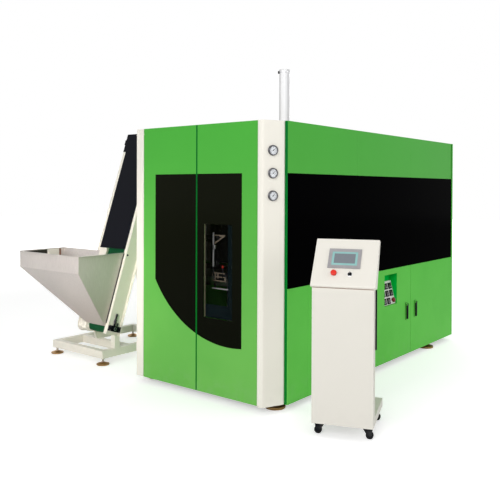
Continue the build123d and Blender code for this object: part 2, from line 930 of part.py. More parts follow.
def zone_control_plate():
    """Sloped plate across the recess, with square cut-outs and the button's bore."""
    plane, length = control_plane()
    width = recess_far - recess_near - 2 * seat
    lift = control_plate_lift
    plate = Pos(0, lift + (length - lift) / 2, -control_plate_sheet / 2)
    plate = plate * Box(width, length - lift, control_plate_sheet)
    for x, y in module_places():
        plate -= Pos(x, y, 0) * Box(module_cut_out, module_cut_out, 3 * control_plate_sheet)
    x, y = stop_place()
    plate -= Pos(x, y, 0) * Cylinder(stop_stem_radius + pin_clearance, 3 * control_plate_sheet)
    back = lower_face - recess_depth + skin
    body = plane.location * plate
    shelf = span(back, lower_face - control_plate_set_back, recess_near + seat, recess_far - seat,
                 control_plate_top - control_plate_sheet, control_plate_top)
    return body + shelf


def zone_controllers():
    """Square temperature controllers, with a sunk display each."""
    plane = control_plane()[0]
    modules = []
    for x, y in module_places():
        face = Pos(x, y, module_stand / 2) * Box(module_size, module_size, module_stand)
        behind = module_size - module_behind
        face += Pos(x, y, -module_body / 2) * Box(behind, behind, module_body)
        display = Box(module_size - 2 * display_margin, module_size / 3, display_depth)
        face -= Pos(x, y + display_up, module_stand) * display
        modules.append(plane.location * face)
    return group(modules)


def mushroom(head, stem, stand, inside):
    """A mushroom button: domed head, neck and stem, on the plane z = 0."""
    flank = stand + stop_head_bevel
    top = stand + stop_head_height
    points = [(0, -inside), (stem, -inside), (stem, stand), (head - stop_head_bevel, stand), (head, flank)]
    points += [(head, flank + stop_head_flank), (head * stop_head_crown, top - 2), (0, top)]
    return revolve(Plane.XZ * make_face(Polyline(*points, close=True)), Axis.Z)


def zone_stop_button():
    """Red mushroom button on the sloped plate."""
    plane = control_plane()[0]
    x, y = stop_place()
    return plane.location * Pos(x, y, 0) * mushroom(stop_head_radius, stop_stem_radius, stop_travel + 2, module_body)


# Clamp unit


def clamp_frame():
    """Two end plates with the ram barrels, joined by a bridge above the moulds."""
    body = None
    for sign in (-1, 1):
        inner = clamp_x + sign * end_plate_offset
        outer = inner + sign * end_plate
        x0, x1 = min(inner, outer), max(inner, outer)
        plate = span(x0, x1, clamp_y - end_plate_half_depth, clamp_y + end_plate_half_depth, bed_top, end_plate_top)
        for dy in (-tie_bar_half_y, tie_bar_half_y):
            for dz in (-tie_bar_half_z, tie_bar_half_z):
                plate -= rod_x(x0 - 1, x1 + 1, clamp_y + dy, clamp_z + dz, tie_bar_radius)
        end = outer + sign * mould_stroke
        plate += rod_x(min(outer, end), max(outer, end), clamp_y, clamp_z, barrel_radius)
        stop = end - sign * 10.0
        plate -= rod_x(min(inner - sign, stop), max(inner - sign, stop), clamp_y, clamp_z, ram_radius + pin_clearance)
        body = plate if body is None else body + plate
    x0 = clamp_x - end_plate_offset - end_plate
    x1 = clamp_x + end_plate_offset + end_plate
    top = end_plate_top + bridge_plate
    bridge = span(x0, x1, clamp_y - bridge_half_depth, clamp_y + bridge_half_depth, end_plate_top, top)
    for dy in (-cavity_pitch / 2, cavity_pitch / 2):
        bridge -= rod_z(end_plate_top - 1, top + 1, clamp_x, clamp_y + dy, stretch_rod_radius * 2)
    return body + bridge


def guide_bars():
    """Four tie bars through the end plates and two columns on the bridge."""
    bars = []
    reach = end_plate_offset + end_plate
    for dy in (-tie_bar_half_y, tie_bar_half_y):
        for dz in (-tie_bar_half_z, tie_bar_half_z):
            bars.append(rod_x(clamp_x - reach, clamp_x + reach, clamp_y + dy, clamp_z + dz, tie_bar_radius))
    low = end_plate_top + bridge_plate
    for dx in (-guide_column_half_x, guide_column_half_x):
        bars.append(rod_z(low, guide_column_top, clamp_x + dx, clamp_y, guide_column_radius))
    return group(bars)


def platen(sign):
    """Moving platen on the tie bars, with its ram."""
    inner = clamp_x + sign * (mould_gap / 2 + mould_thickness)
    outer = inner + sign * platen_thickness
    x0, x1 = min(inner, outer), max(inner, outer)
    plate = span(x0, x1, clamp_y - platen_half_depth, clamp_y + platen_half_depth,
                 clamp_z - platen_half_height, clamp_z + platen_half_height)
    for dy in (-tie_bar_half_y, tie_bar_half_y):
        for dz in (-tie_bar_half_z, tie_bar_half_z):
            plate -= rod_x(x0 - 1, x1 + 1, clamp_y + dy, clamp_z + dz, tie_bar_radius + pin_clearance)
    ram_end = clamp_x + sign * (end_plate_offset + end_plate / 2)
    return plate + rod_x(min(outer, ram_end), max(outer, ram_end), clamp_y, clamp_z, ram_radius)


def cavity():
    """One bottle: base, straight body, shoulder and neck, turned about its axis."""
    low = clamp_z - mould_half_height
    top = clamp_z + mould_half_height
    points = [(0, low - 1), (cavity_base_radius, low - 1), (cavity_base_radius, low + cavity_bottom)]
    points += [(cavity_radius, low + cavity_bottom + 12), (cavity_radius, low + cavity_body_top)]
    points += [(cavity_neck_radius, low + cavity_shoulder_top), (cavity_neck_radius, top + 1), (0, top + 1)]
    return revolve(Plane.XZ * make_face(Polyline(*points, close=True)), Axis.Z)


def mould(sign):
    """Mould half with its two half cavities."""
    inner = clamp_x + sign * mould_gap / 2
    outer = inner + sign * mould_thickness
    block = span(min(inner, outer), max(inner, outer), clamp_y - mould_half_depth, clamp_y + mould_half_depth,
                 clamp_z - mould_half_height, clamp_z + mould_half_height)
    for dy in (-cavity_pitch / 2, cavity_pitch / 2):
        block -= Pos(clamp_x, clamp_y + dy, 0) * cavity()
    return block


def base_mould():
    """Lifting plate with a plug for each cavity's base, on its lift rod."""
    top = base_mould_low + base_mould_thickness
    body = span(clamp_x - base_mould_half_x, clamp_x + base_mould_half_x,
                clamp_y - base_mould_half_y, clamp_y + base_mould_half_y, base_mould_low, top)
    for dy in (-cavity_pitch / 2, cavity_pitch / 2):
        body += Pos(clamp_x, clamp_y + dy, top) * extrude(Circle(base_plug_radius), base_plug_height, taper=8)
    return body + rod_z(lift_rod_low, base_mould_low, clamp_x, clamp_y, lift_rod_radius)


def stretch_rod_unit():
    """Crosshead on the two columns, with the rods that stretch the preforms."""
    top = crosshead_bottom + crosshead_thickness
    head = span(clamp_x - crosshead_half_x, clamp_x + crosshead_half_x,
                clamp_y - crosshead_half_y, clamp_y + crosshead_half_y, crosshead_bottom, top)
    for dx in (-guide_column_half_x, guide_column_half_x):
        head -= rod_z(crosshead_bottom - 1, top + 1, clamp_x + dx, clamp_y, guide_column_radius + pin_clearance)
    for dy in (-cavity_pitch / 2, cavity_pitch / 2):
        head += rod_z(stretch_rod_low, crosshead_bottom, clamp_x, clamp_y + dy, stretch_rod_radius)
    return head


# Oven


def chain_path(index):
    """Place and direction of a link on the chain's loop."""
    radius = chain_wheel_radius + chain_clearance + chain_band
    straight = chain_rear_y - chain_front_y
    half_turn = math.pi * radius
    along = (2 * straight + 2 * half_turn) * index / chain_links
    if along < straight:
        return chain_x - radius, chain_front_y + along, 90.0
    along -= straight
    if along < half_turn:
        angle = math.pi - along / radius
        return chain_x + radius * math.cos(angle), chain_rear_y + radius * math.sin(angle), math.degrees(angle) - 90
    along -= half_turn
    if along < straight:
        return chain_x + radius, chain_rear_y - along, -90.0
    along -= straight
    angle = -along / radius
    return chain_x + radius * math.cos(angle), chain_front_y + radius * math.sin(angle), math.degrees(angle) - 90


def preform_chain():
    """Chain round both wheels: plates at two levels in turn, pinned by the spindles."""
    places = [chain_path(index) for index in range(chain_links)]
    low = chain_wheel_low + chain_wheel_thickness / 2 - link_plate
    chain = None
    for index, (x, y, turn) in enumerate(places):
        next_x, next_y, next_turn = places[(index + 1) % chain_links]
        length = math.hypot(next_x - x, next_y - y) + link_width * 0.7
        heading = math.degrees(math.atan2(next_y - y, next_x - x))
        level = low + (index % 2) * link_plate
        centre = Pos((x + next_x) / 2, (y + next_y) / 2, level + link_plate / 2)
        plate = centre * Rot(0, 0, heading) * Box(length, chain_band * 1.6, link_plate)
        spindle = rod_z(low, low + 2 * link_plate + spindle_height, x, y, spindle_radius)
        chain = plate + spindle if chain is None else chain + plate + spindle
    keep_out = None
    for y in (chain_front_y, chain_rear_y):
        disc = rod_z(low - 9, low + 2 * link_plate + 9, chain_x, y, chain_wheel_radius + chain_clearance)
        keep_out = disc if keep_out is None else keep_out + disc
    return chain - keep_out


def chain_wheel(y):
    """Spoked chain wheel with its hub and shaft."""
    high = chain_wheel_low + chain_wheel_thickness
    wheel = rod_z(chain_wheel_low, high, chain_x, y, chain_wheel_radius)
    for index in range(chain_wheel_holes):
        angle = 2 * math.pi * index / chain_wheel_holes
        x = chain_x + chain_wheel_hole_circle * math.cos(angle)
        wheel -= rod_z(chain_wheel_low - 1, high + 1, x, y + chain_wheel_hole_circle * math.sin(angle),
                       chain_wheel_hole_radius)
    wheel += rod_z(bed_top + 2, high + 14, chain_x, y, wheel_shaft_radius * 1.8)
    return wheel + rod_z(wheel_shaft_low, high + 20, chain_x, y, wheel_shaft_radius)


def oven_housing():
    """Channel round the chain's outer run: two walls on a floor, with lamp holders at the ends."""
    run = chain_x - chain_wheel_radius - chain_clearance - chain_band
    x0 = run - oven_gap - oven_wall
    x1 = run + oven_gap + oven_wall
    body = span(x0, x1, oven_front_y, oven_rear_y, bed_top, oven_top)
    body -= span(x0 + oven_wall, x1 - oven_wall, oven_front_y - 1, oven_rear_y + 1, oven_floor, oven_top + 1)
    wall = x0 + oven_wall
    half = lamp_holder_height / 2
    for index in range(lamp_count):
        z = lamp_low + index * lamp_pitch
        for y in (oven_front_y, oven_rear_y - lamp_holder_depth):
            body += span(wall - beyond, wall + lamp_holder_reach, y, y + lamp_holder_depth, z - half, z + half)
    return body


def oven_lamps():
    """Heating lamps between the holders, one above the other."""
    run = chain_x - chain_wheel_radius - chain_clearance - chain_band
    x = run - oven_gap + lamp_holder_reach / 2
    lamps = []
    for index in range(lamp_count):
        z = lamp_low + index * lamp_pitch
        lamps.append(rod_y(oven_front_y + lamp_holder_depth, oven_rear_y - lamp_holder_depth, x, z, lamp_radius))
    return group(lamps)


# Elevator


def incline():
    """Plane of the conveyor's front: x across, y up the slope, z outwards to the front."""
    normal = (0, -math.sin(lean), math.cos(lean))
    return Plane(origin=(0, elevator_foot_y, elevator_foot_z), x_dir=(1, 0, 0), z_dir=normal)


def incline_point(along, normal):
    """Y and Z of a point on the conveyor's slope."""
    y = elevator_foot_y + along * math.cos(lean) - normal * math.sin(lean)
    z = elevator_foot_z + along * math.sin(lean) + normal * math.cos(lean)
    return y, z


def between(x0, x1, *rest):
    """A box between two places along X, given in either order."""
    return span(min(x0, x1), max(x0, x1), *rest)


def web_faces():
    """Inner faces of the two rails' webs."""
    return rail_left + rail_sheet, rail_right - rail_sheet


def drum_places():
    """Places of the two drums up the slope."""
    return drum_low, elevator_length - drum_top_gap


def rail(edge, inward, start):
    """One folded rail: web, front flange towards the belt and rear flange away from it."""
    body = between(edge, edge + inward * rail_sheet, start, elevator_length, -rail_depth, 0)
    body += between(edge, edge + inward * rail_flange, start, elevator_length, -rail_sheet, 0)
    return body + between(edge, edge - inward * rail_rear_flange, start, elevator_length,
                          -rail_depth, rail_sheet - rail_depth)


def elevator_rails():
    """Two folded rails tied together inside the belt's loop, and the plate beside the belt."""
    left, right = web_faces()
    middle = -rail_depth / 2
    low, high = drum_places()
    body = rail(rail_right, -1, 0) + rail(rail_left, 1, left_flange_start)
    body += span(rail_left, left, low, left_flange_start + beyond, -rail_depth, 0)
    body += rod_x(rail_left, left, low, middle, rail_depth / 2)
    plate = span(rail_left + rail_flange - beyond, guard_plate_right, left_flange_start,
                 cover_start - cover_sheet, -rail_sheet, 0)
    corner = plate.edges().filter_by(Axis.Z).sort_by(Axis((0, 0, 0), (1, 1, 0)))[-1]
    body += fillet(corner, guard_corner)
    for share in tie_shares:
        along = share * elevator_length
        body += span(left, right, along - tie_half_length, along + tie_half_length,
                     middle - tie_half_thickness, middle + tie_half_thickness)
    bore = drum_shaft_radius + pin_clearance
    body -= rod_x(rail_left - beyond, rail_right + beyond, high, middle, bore)
    body -= rod_x(belt_right, rail_right + beyond, low, middle, bore)
    return incline().location * body


def belt_drum(along, left_end, right_end):
    """Drum with its shaft."""
    middle = -rail_depth / 2
    body = rod_x(belt_left - drum_overhang, belt_right + drum_overhang, along, middle, drum_radius)
    return incline().location * (body + rod_x(left_end, right_end, along, middle, drum_shaft_radius))


def elevator_belt():
    """Belt loop with cleats on both runs."""
    middle = -rail_depth / 2
    low, high = drum_places()
    inner = drum_radius + belt_clearance
    outer = inner + belt_thickness
    loop = None
    for radius, side in ((outer, 0), (inner, beyond)):
        x0 = belt_left - side
        x1 = belt_right + side
        shape = span(x0, x1, low, high, middle - radius, middle + radius)
        shape += rod_x(x0, x1, low, middle, radius)
        shape += rod_x(x0, x1, high, middle, radius)
        loop = shape if loop is None else loop - shape
    count = int((high - low - cleat_pitch) // cleat_pitch)
    for index in range(count + 1):
        along = low + cleat_pitch * (index + 0.5)
        for n0 in (outer, -outer - cleat_height):
            loop += span(belt_left + cleat_inset, belt_right - cleat_inset, along, along + cleat_thickness,
                         middle + n0, middle + n0 + cleat_height)
    return incline().location * loop


def belt_cover():
    """Folded cover between the rails' edges, as wide as the rails at the head and closed over the drum."""
    top = elevator_length + cover_top_gap + cover_sheet
    cap = elevator_length - cover_cap_length
    cover = span(rail_left + cover_inset, rail_right - cover_inset, cover_start, cap + beyond, 0, cover_sheet)
    cover += span(rail_left, rail_right, cap, top, 0, cover_sheet)
    cover += span(rail_left, rail_right, top - cover_sheet, top, -cover_top_return, cover_sheet)
    return incline().location * cover


def bearing_block(edge, outward, along):
    """Bearing block on a web's outer face, bored for the shaft."""
    middle = -rail_depth / 2
    face = edge + outward * bearing_thickness
    block = between(edge, face, along - bearing_along / 2, along + bearing_along / 2,
                    middle - bearing_across / 2, middle + bearing_across / 2)
    return block - rod_x(min(edge, face) - beyond, max(edge, face) + beyond, along, middle,
                         drum_shaft_radius + pin_clearance)


def belt_bearings():
    """Three bearing blocks; the lower one has the belt's take-up screw and its lock screw."""
    middle = -rail_depth / 2
    low, high = drum_places()
    lower = bearing_block(rail_right, 1, low)
    start = low + bearing_along / 2
    x = rail_right + bearing_thickness / 2
    lower += rod_y(start, start + take_up_rod_length, x, middle + take_up_rod_offset, take_up_rod_radius)
    lower += rod_y(start, start + lock_screw_length, x, middle + lock_screw_offset, lock_screw_radius)
    blocks = [lower, bearing_block(rail_right, 1, high), bearing_block(rail_left, -1, high)]
    return group([incline().location * block for block in blocks])


def belt_drive():
    """Gear motor of the belt: a round grooved housing beside the drum, with its motor to the back."""
    y, z = incline_point(drum_low, -rail_depth / 2)
    left = rail_left + rail_sheet + seat
    right = belt_left - drum_overhang - drive_belt_gap
    shoulder = right - drive_cap_length
    housing = rod_x(left, shoulder, y, z, drive_housing_radius)
    for x in (left + (shoulder - left) / 3, left + 2 * (shoulder - left) / 3):
        ring = rod_x(x, x + drive_groove, y, z, drive_housing_radius + beyond)
        housing -= ring - rod_x(x, x + drive_groove, y, z, drive_housing_radius - drive_groove_depth)
    housing += rod_x(shoulder, right, y, z, drive_cap_radius)
    housing += rod_y(y, y + drive_housing_radius + drive_motor_length, (left + shoulder) / 2, z, drive_motor_radius)
    return housing - rod_x(left + rail_sheet, right + beyond, y, z, drum_shaft_radius + pin_clearance)


def chain_drive():
    """Gear motor of the oven's chain, under the bed."""
    low = wheel_shaft_low - chain_box_drop
    half = chain_box_half
    drive = span(chain_x - half, chain_x + half, chain_front_y - half, chain_front_y + half, low, bed_top - bed_plate)
    drive -= rod_z(wheel_shaft_low - pin_clearance, bed_top, chain_x, chain_front_y, wheel_shaft_radius + pin_clearance)
    return drive + rod_z(low - chain_motor_length, low, chain_x, chain_front_y, chain_motor_radius)


def gear_motors():
    """Both gear motors."""
    return group([belt_drive(), chain_drive()])


def elevator_base():
    """Base of rectangular tube, with legs under the rails and struts to their backs."""
    low = frame_bottom
    top = low + base_tube_height
    seated = top - beyond
    body = span(base_left, base_right, base_front, base_front + base_tube, low, top)
    body += span(base_left, base_right, second_beam, second_beam + base_tube, low, top)
    body += span(base_left, base_right, base_rear - base_tube, base_rear, low, top)
    body += span(base_left, base_left + base_tube, base_front, base_rear, low, top)
    body += span(base_right - base_tube, base_right, base_front, base_rear, low, top)
    strut_high = elevator_length - strut_top_gap
    strut = [(base_rear - strut_foot, seated), (base_rear, seated)]
    strut += [incline_point(strut_high, -rail_depth), incline_point(strut_high - strut_width, -rail_depth)]
    body += profile_x(strut, rail_left - rail_rear_flange, rail_left)
    body += profile_x(strut, rail_right, rail_right + rail_rear_flange)
    left_leg = [(second_beam, seated), (second_beam + base_tube, seated)]
    left_leg += [incline_point(left_flange_start + strut_width, -rail_depth),
                 incline_point(left_flange_start, -rail_depth)]
    body += profile_x(left_leg, rail_left - rail_rear_flange, rail_left)
    front = incline_point(0, -leg_front)
    rear = incline_point(0, -rail_depth)
    right_leg = [(front[0], seated), (rear[0], seated), rear, front]
    return body + profile_x(right_leg, rail_right - leg_inset, rail_right + rail_rear_flange - beyond)


def preform_rail():
    """Sloped channel from the elevator's head, through the left wall, into the cabinet."""
    x0, x1 = chute_start_x, chute_end_x
    z0, z1 = chute_start_z, chute_end_z
    plane = Plane(origin=(0, chute_rear, 0), x_dir=(1, 0, 0), z_dir=(0, -1, 0))
    outer = [(x0, z0), (x1, z1), (x1, z1 + chute_wall), (x0, z0 + chute_wall)]
    body = extrude(plane * make_face(Polyline(*outer, close=True)), chute_width)
    body += span(x0, rail_right, chute_rear - chute_sheet, chute_rear, z0, chute_back_top)
    half = chute_bracket_half
    edges = ((rail_left - rail_rear_flange, rail_left), (rail_right, rail_right + rail_rear_flange))
    for x_low, x_high in edges:
        along = (inlet_height(x_high) + chute_wall / 2 - elevator_foot_z) / math.sin(lean)
        along += rail_depth / math.tan(lean)
        bracket = span(x_low, x_high, along - half, along + half, -rail_depth - chute_bracket_reach, -rail_depth)
        body += incline().location * bracket
    body -= span(x0 + chute_sheet, x1, chute_front + chute_sheet, chute_rear - chute_sheet,
                 z1 + chute_wall, chute_back_top)
    return body - chute_room()


def chute_room():
    """Room inside the channel, open at its lower end and along its top."""
    plane = Plane(origin=(0, chute_rear - chute_sheet, 0), x_dir=(1, 0, 0), z_dir=(0, -1, 0))
    x0, x1 = chute_start_x + chute_sheet, chute_end_x + beyond
    z0 = inlet_height(x0) + chute_sheet
    z1 = inlet_height(x1) + chute_sheet
    points = [(x0, z0), (x1, z1), (x1, z1 + chute_wall), (x0, z0 + chute_wall)]
    return extrude(plane * make_face(Polyline(*points, close=True)), chute_width - 2 * chute_sheet)


def hopper_rear(z, inset):
    """Place of the hopper's back wall at a height: it lies on the rails' front."""
    return elevator_foot_y + (z - elevator_foot_z) / math.tan(lean) - inset / math.sin(lean)


def hopper_body(inset, rim):
    """Outer form of the hopper, or with an inset the room inside it."""
    front_fall = math.atan2(hopper_fold - hopper_outlet_z, hopper_outlet_front - hopper_front)
    left_fall = math.atan2(hopper_fold - hopper_outlet_z, hopper_outlet_left - hopper_left)
    front_low = hopper_outlet_front + inset / math.sin(front_fall)
    left_low = hopper_outlet_left + inset / math.sin(left_fall)
    rear_low = hopper_rear(hopper_outlet_z, 0)
    side = [(hopper_front + inset, rim), (hopper_front + inset, hopper_fold), (front_low, hopper_outlet_z)]
    side += [(max(rear_low, front_low + beyond), hopper_outlet_z), (hopper_rear(rim, inset), rim)]
    body = profile_x(side, hopper_left + inset, hopper_right - inset)
    far = hopper_left - hopper_lip
    deep = hopper_outlet_z - hopper_lip
    corner = [(far, hopper_fold), (hopper_left + inset, hopper_fold), (left_low, hopper_outlet_z)]
    corner += [(hopper_outlet_left, deep), (far, deep)]
    plane = Plane(origin=(0, hopper_front - hopper_lip, 0), x_dir=(1, 0, 0), z_dir=(0, -1, 0))
    depth = hopper_rear(rim, 0) - hopper_front + 2 * hopper_lip
    return body - extrude(plane * make_face(Polyline(*corner, close=True)), -depth)


def preform_hopper():
    """Hopper of folded sheet: skirt, two sloped walls, a lip, and open to the belt at the back."""
    rear = hopper_rear(hopper_rim, 0)
    body = hopper_body(0, hopper_rim)
    body += span(hopper_left - hopper_lip, hopper_right + hopper_lip, hopper_front - hopper_lip,
                 rear - hopper_sheet, hopper_rim - hopper_sheet, hopper_rim)
    body -= hopper_body(hopper_sheet, hopper_rim + beyond)
    mouth = span(rail_left + rail_flange, hopper_right - hopper_sheet, 0, elevator_length,
                 -rail_depth, 2 * hopper_sheet)
    return body - incline().location * mouth


# Console


def console_location():
    """Place of the console: x across its front, y to its back."""
    return Pos(console_x, console_y, 0) * Rot(0, 0, console_turn)


def head_points(inset):
    """Side outline of the sloped head, in y and z."""
    low_front = (-head_front_lap + inset, column_top + inset)
    top_front = (head_lean - head_front_lap + inset * 0.6, column_top + head_rise - inset)
    top_back = (head_lean - head_front_lap + head_top_depth - inset, column_top + head_rise - 16.0 - inset)
    low_back = (head_back_low - inset * 1.4, column_top - 10.0 + inset)
    return [low_front, top_front, top_back, low_back]


def head_plane():
    """Plane of the sloped panel: x across, y up the slope, z outwards."""
    up = Vector(0, head_lean, head_rise).normalized()
    normal = Vector(0, -up.Z, up.Y)
    return Plane(origin=(0, -head_front_lap, column_top), x_dir=(1, 0, 0), z_dir=normal)


def castor_places():
    """Swivel centres of the castors in the console's frame, with the side that each trails to."""
    left = castor_inset_x
    right = console_width - castor_inset_x
    return [(left, castor_front_y, -1), (right, castor_front_y, 1), (left, castor_rear_y, -1), (right, castor_rear_y, 1)]


def console_housing():
    """Base, column and sloped head in one welded housing, open below and behind, with castor plates."""
    low = console_floor_gap
    width = console_width
    sheet = console_sheet
    base_top = low + console_base_height
    base = span(0, width, 0, console_base_depth, low, base_top)
    column = span(0, width, 0, column_depth, low, column_top)
    head = profile_x(head_points(0), -head_side_lap, width + head_side_lap)
    front_edge = head.edges().filter_by(Axis.X).sort_by(Axis.Y)[0]
    head = fillet(front_edge, head_edge_radius)
    body = base + column + head
    body -= span(sheet, width - sheet, sheet, console_base_depth - sheet, low - 1, base_top - sheet)
    body -= span(sheet, width - sheet, sheet, column_depth - sheet, base_top - sheet - 1, column_top + 1)
    body -= profile_x(head_points(sheet), sheet - head_side_lap, width + head_side_lap - sheet)
    body -= span(20, width - 20, column_depth - sheet - 1, column_depth + 1, rear_cover_low + 20, rear_cover_high - 20)
    for x, y, trail in castor_places():
        half = castor_plate_half
        plate = span(x - half, x + half, y - half, y + half, low, low + castor_plate)
        body += plate - rod_z(low - 1, low + castor_plate + 1, x, y, castor_stem_radius + pin_clearance)
        for lug in (0, 1):
            edge = y - half if lug == 0 else y + half - sheet
            side = 0 if trail < 0 else width - castor_inset_x
            body += span(side, side + castor_inset_x, edge, edge + sheet, low, base_top - 1)
    place = head_plane().location
    for x, up in ((console_stop_x, console_stop_up), (selector_x, selector_up)):
        body -= place * Pos(x, up, 0) * Cylinder(control_stem_radius + pin_clearance, 4 * sheet)
    return console_location() * body


def console_rear_cover():
    """Dark service cover on the back of the column."""
    lap = rear_cover_lap
    cover = pan(-lap, console_width + lap, column_depth, column_depth + rear_cover_depth,
                rear_cover_low, rear_cover_high, "-y")
    return console_location() * cover


def touch_screen():
    """Touch panel: bezel with a sunk screen."""
    body = Pos(screen_left + screen_width / 2, screen_low + screen_height / 2, screen_thickness / 2)
    body = body * Box(screen_width, screen_height, screen_thickness)
    glass = Pos(screen_left + screen_width / 2, screen_low + screen_height / 2, screen_thickness)
    body -= glass * Box(screen_width - 2 * screen_glass_margin_x, screen_height - 2 * screen_glass_margin_y,
                        2 * screen_glass_recess)
    return console_location() * head_plane().location * body


def console_stop_button():
    """Red mushroom button on the sloped panel."""
    button = mushroom(console_stop_radius, control_stem_radius, stop_travel + 2, 22.0)
    return console_location() * head_plane().location * Pos(console_stop_x, console_stop_up, 0) * button


def mode_selector():
    """Round rotary selector with a raised grip bar."""
    knob = Pos(0, 0, seat + 4) * Cylinder(selector_radius, 8)
    knob += Pos(0, 0, 13) * Box(5.0, 2 * selector_radius - 2, 10)
    knob += Pos(0, 0, -9) * Cylinder(control_stem_radius, 26)
    return console_location() * head_plane().location * Pos(selector_x, selector_up, 0) * knob


def castor_fork(x, y, trail):
    """Swivelling fork: crown, stem, two tapered cheeks and the axle."""
    top = console_floor_gap - castor_crown_gap
    crown_low = top - castor_crown
    half = castor_wheel_half_width + castor_cheek_gap
    axle_x = trail * castor_trail
    reach = castor_plate_half
    fork = span(-reach, reach, -half - castor_cheek, half + castor_cheek, crown_low, top)
    outline = [(-reach, crown_low + 1), (axle_x - 9, castor_wheel_radius - 9), (axle_x + 9, castor_wheel_radius - 9)]
    outline += [(reach, crown_low + 1)]
    for y0 in (-half - castor_cheek, half):
        plane = Plane(origin=(0, y0 + castor_cheek, 0), x_dir=(1, 0, 0), z_dir=(0, -1, 0))
        fork += extrude(plane * make_face(Polyline(*outline, close=True)), castor_cheek)
    fork += rod_y(-half - castor_cheek - 2, half + castor_cheek + 2, axle_x, castor_wheel_radius, castor_axle_radius)
    fork += rod_z(crown_low, console_floor_gap + castor_plate + 6, 0, 0, castor_stem_radius)
    return console_location() * Pos(x, y, 0) * fork


def castor_wheel(x, y, trail):
    """Rubber wheel with a bore for the axle and rounded shoulders."""
    radius = castor_wheel_radius
    half = castor_wheel_half_width
    bore = castor_axle_radius + pin_clearance
    points = [(bore, -half), (radius * 0.55, -half), (radius * 0.6, -half + 1.5), (radius * 0.72, -half + 1.5)]
    points += [(radius * 0.78, -half), (radius - 3, -half), (radius, -half + 3)]
    outline = points + [(r, -n) for r, n in reversed(points)]
    wheel = revolve(Plane.XZ * make_face(Polyline(*outline, close=True)), Axis.Z)
    place = Pos(x + trail * castor_trail, y, radius) * Rot(90, 0, 0)
    return console_location() * place * wheel


# Assembly


def build_nodes():
    """Every node by name, in the modelling frame."""
    low, high = drum_places()
    nodes = {
        "base_frame": base_frame(),
        "upper_frame": upper_frame(),
        "bed_table": bed_table(),
        "levelling_feet": levelling_feet(),
        "corner_post_right": corner_post_right(),
        "corner_post_left": corner_post_left(),
        "roof_panel": roof_panel(),
        "fixed_wall_panels": fixed_wall_panels(),
        "side_header_panels": side_header_panels(),
        "side_window_panels": side_window_panels(),
        "pressure_gauges": pressure_gauges(),
        "vent_pipe": vent_pipe(),
        "hinge_lugs": hinge_lugs(),
        "front_door_left": front_door("left"),
        "front_door_right": front_door("right"),
        "front_window_left": front_window("left"),
        "front_window_right": front_window("right"),
        "side_door_near": side_door("near"),
        "side_door_far": side_door("far"),
        "near_latch_lever": latch_lever(near_latch_y),
        "far_latch_lever": latch_lever(far_latch_y),
        "zone_control_plate": zone_control_plate(),
        "zone_controllers": zone_controllers(),
        "zone_stop_button": zone_stop_button(),
        "clamp_frame": clamp_frame(),
        "guide_bars": guide_bars(),
        "platen_left": platen(-1),
        "platen_right": platen(1),
        "mould_left": mould(-1),
        "mould_right": mould(1),
        "base_mould": base_mould(),
        "stretch_rod_unit": stretch_rod_unit(),
        "oven_housing": oven_housing(),
        "oven_lamps": oven_lamps(),
        "preform_chain": preform_chain(),
        "drive_wheel": chain_wheel(chain_front_y),
        "idle_wheel": chain_wheel(chain_rear_y),
        "gear_motors": gear_motors(),
        "preform_rail": preform_rail(),
        "elevator_base": elevator_base(),
        "elevator_rails": elevator_rails(),
        "elevator_belt": elevator_belt(),
        "belt_drive_drum": belt_drum(low, rail_left + 3 * rail_sheet, rail_right + shaft_end),
        "belt_head_drum": belt_drum(high, rail_left - shaft_end, rail_right + shaft_end),
        "belt_cover": belt_cover(),
        "belt_bearings": belt_bearings(),
        "preform_hopper": preform_hopper(),
        "console_housing": console_housing(),
        "console_rear_cover": console_rear_cover(),
        "touch_screen": touch_screen(),
        "console_stop_button": console_stop_button(),
        "mode_selector": mode_selector(),
    }
    for number, (x, y, trail) in enumerate(castor_places(), start=1):
        nodes[f"castor_fork_{number}"] = castor_fork(x, y, trail)
        nodes[f"castor_wheel_{number}"] = castor_wheel(x, y, trail)
    return nodes


def frame_shift(nodes):
    """Shift that puts the origin under the middle of the whole machine, on the floor."""
    boxes = [node.bounding_box() for node in nodes.values()]
    x = (min(box.min.X for box in boxes) + max(box.max.X for box in boxes)) / 2
    y = (min(box.min.Y for box in boxes) + max(box.max.Y for box in boxes)) / 2
    return -x, -y


if __name__ == "__main__":
    os.makedirs("parts", exist_ok=True)
    machine = build_nodes()
    shift_x, shift_y = frame_shift(machine)
    for name, shape in machine.items():
        export_step(Pos(shift_x, shift_y, 0) * shape, f"parts/{name}.step")
    print("nodes", len(machine), "shift", round(shift_x, 3), round(shift_y, 3))
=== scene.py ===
"""Blow moulding machine: finishes, fittings and small parts on the fixed frame."""
import json
import math

import bpy
from mathutils import Matrix, Vector


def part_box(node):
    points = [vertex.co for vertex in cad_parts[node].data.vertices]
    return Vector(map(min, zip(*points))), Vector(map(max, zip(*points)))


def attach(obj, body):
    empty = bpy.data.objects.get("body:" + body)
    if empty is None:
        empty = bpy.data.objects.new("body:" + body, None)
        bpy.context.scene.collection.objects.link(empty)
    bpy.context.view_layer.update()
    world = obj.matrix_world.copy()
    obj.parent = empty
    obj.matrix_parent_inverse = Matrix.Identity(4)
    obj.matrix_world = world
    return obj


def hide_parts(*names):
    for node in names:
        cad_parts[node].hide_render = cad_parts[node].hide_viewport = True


bl_info = {
    "name": "Blow moulding machine",
    "version": (1, 0, 0),
    "blender": (4, 5, 0),
    "location": "View3D > Sidebar > Machine",
    "description": "Dresses the machine's frame with its finishes, dials, screws, seals and controls",
    "category": "Object",
}

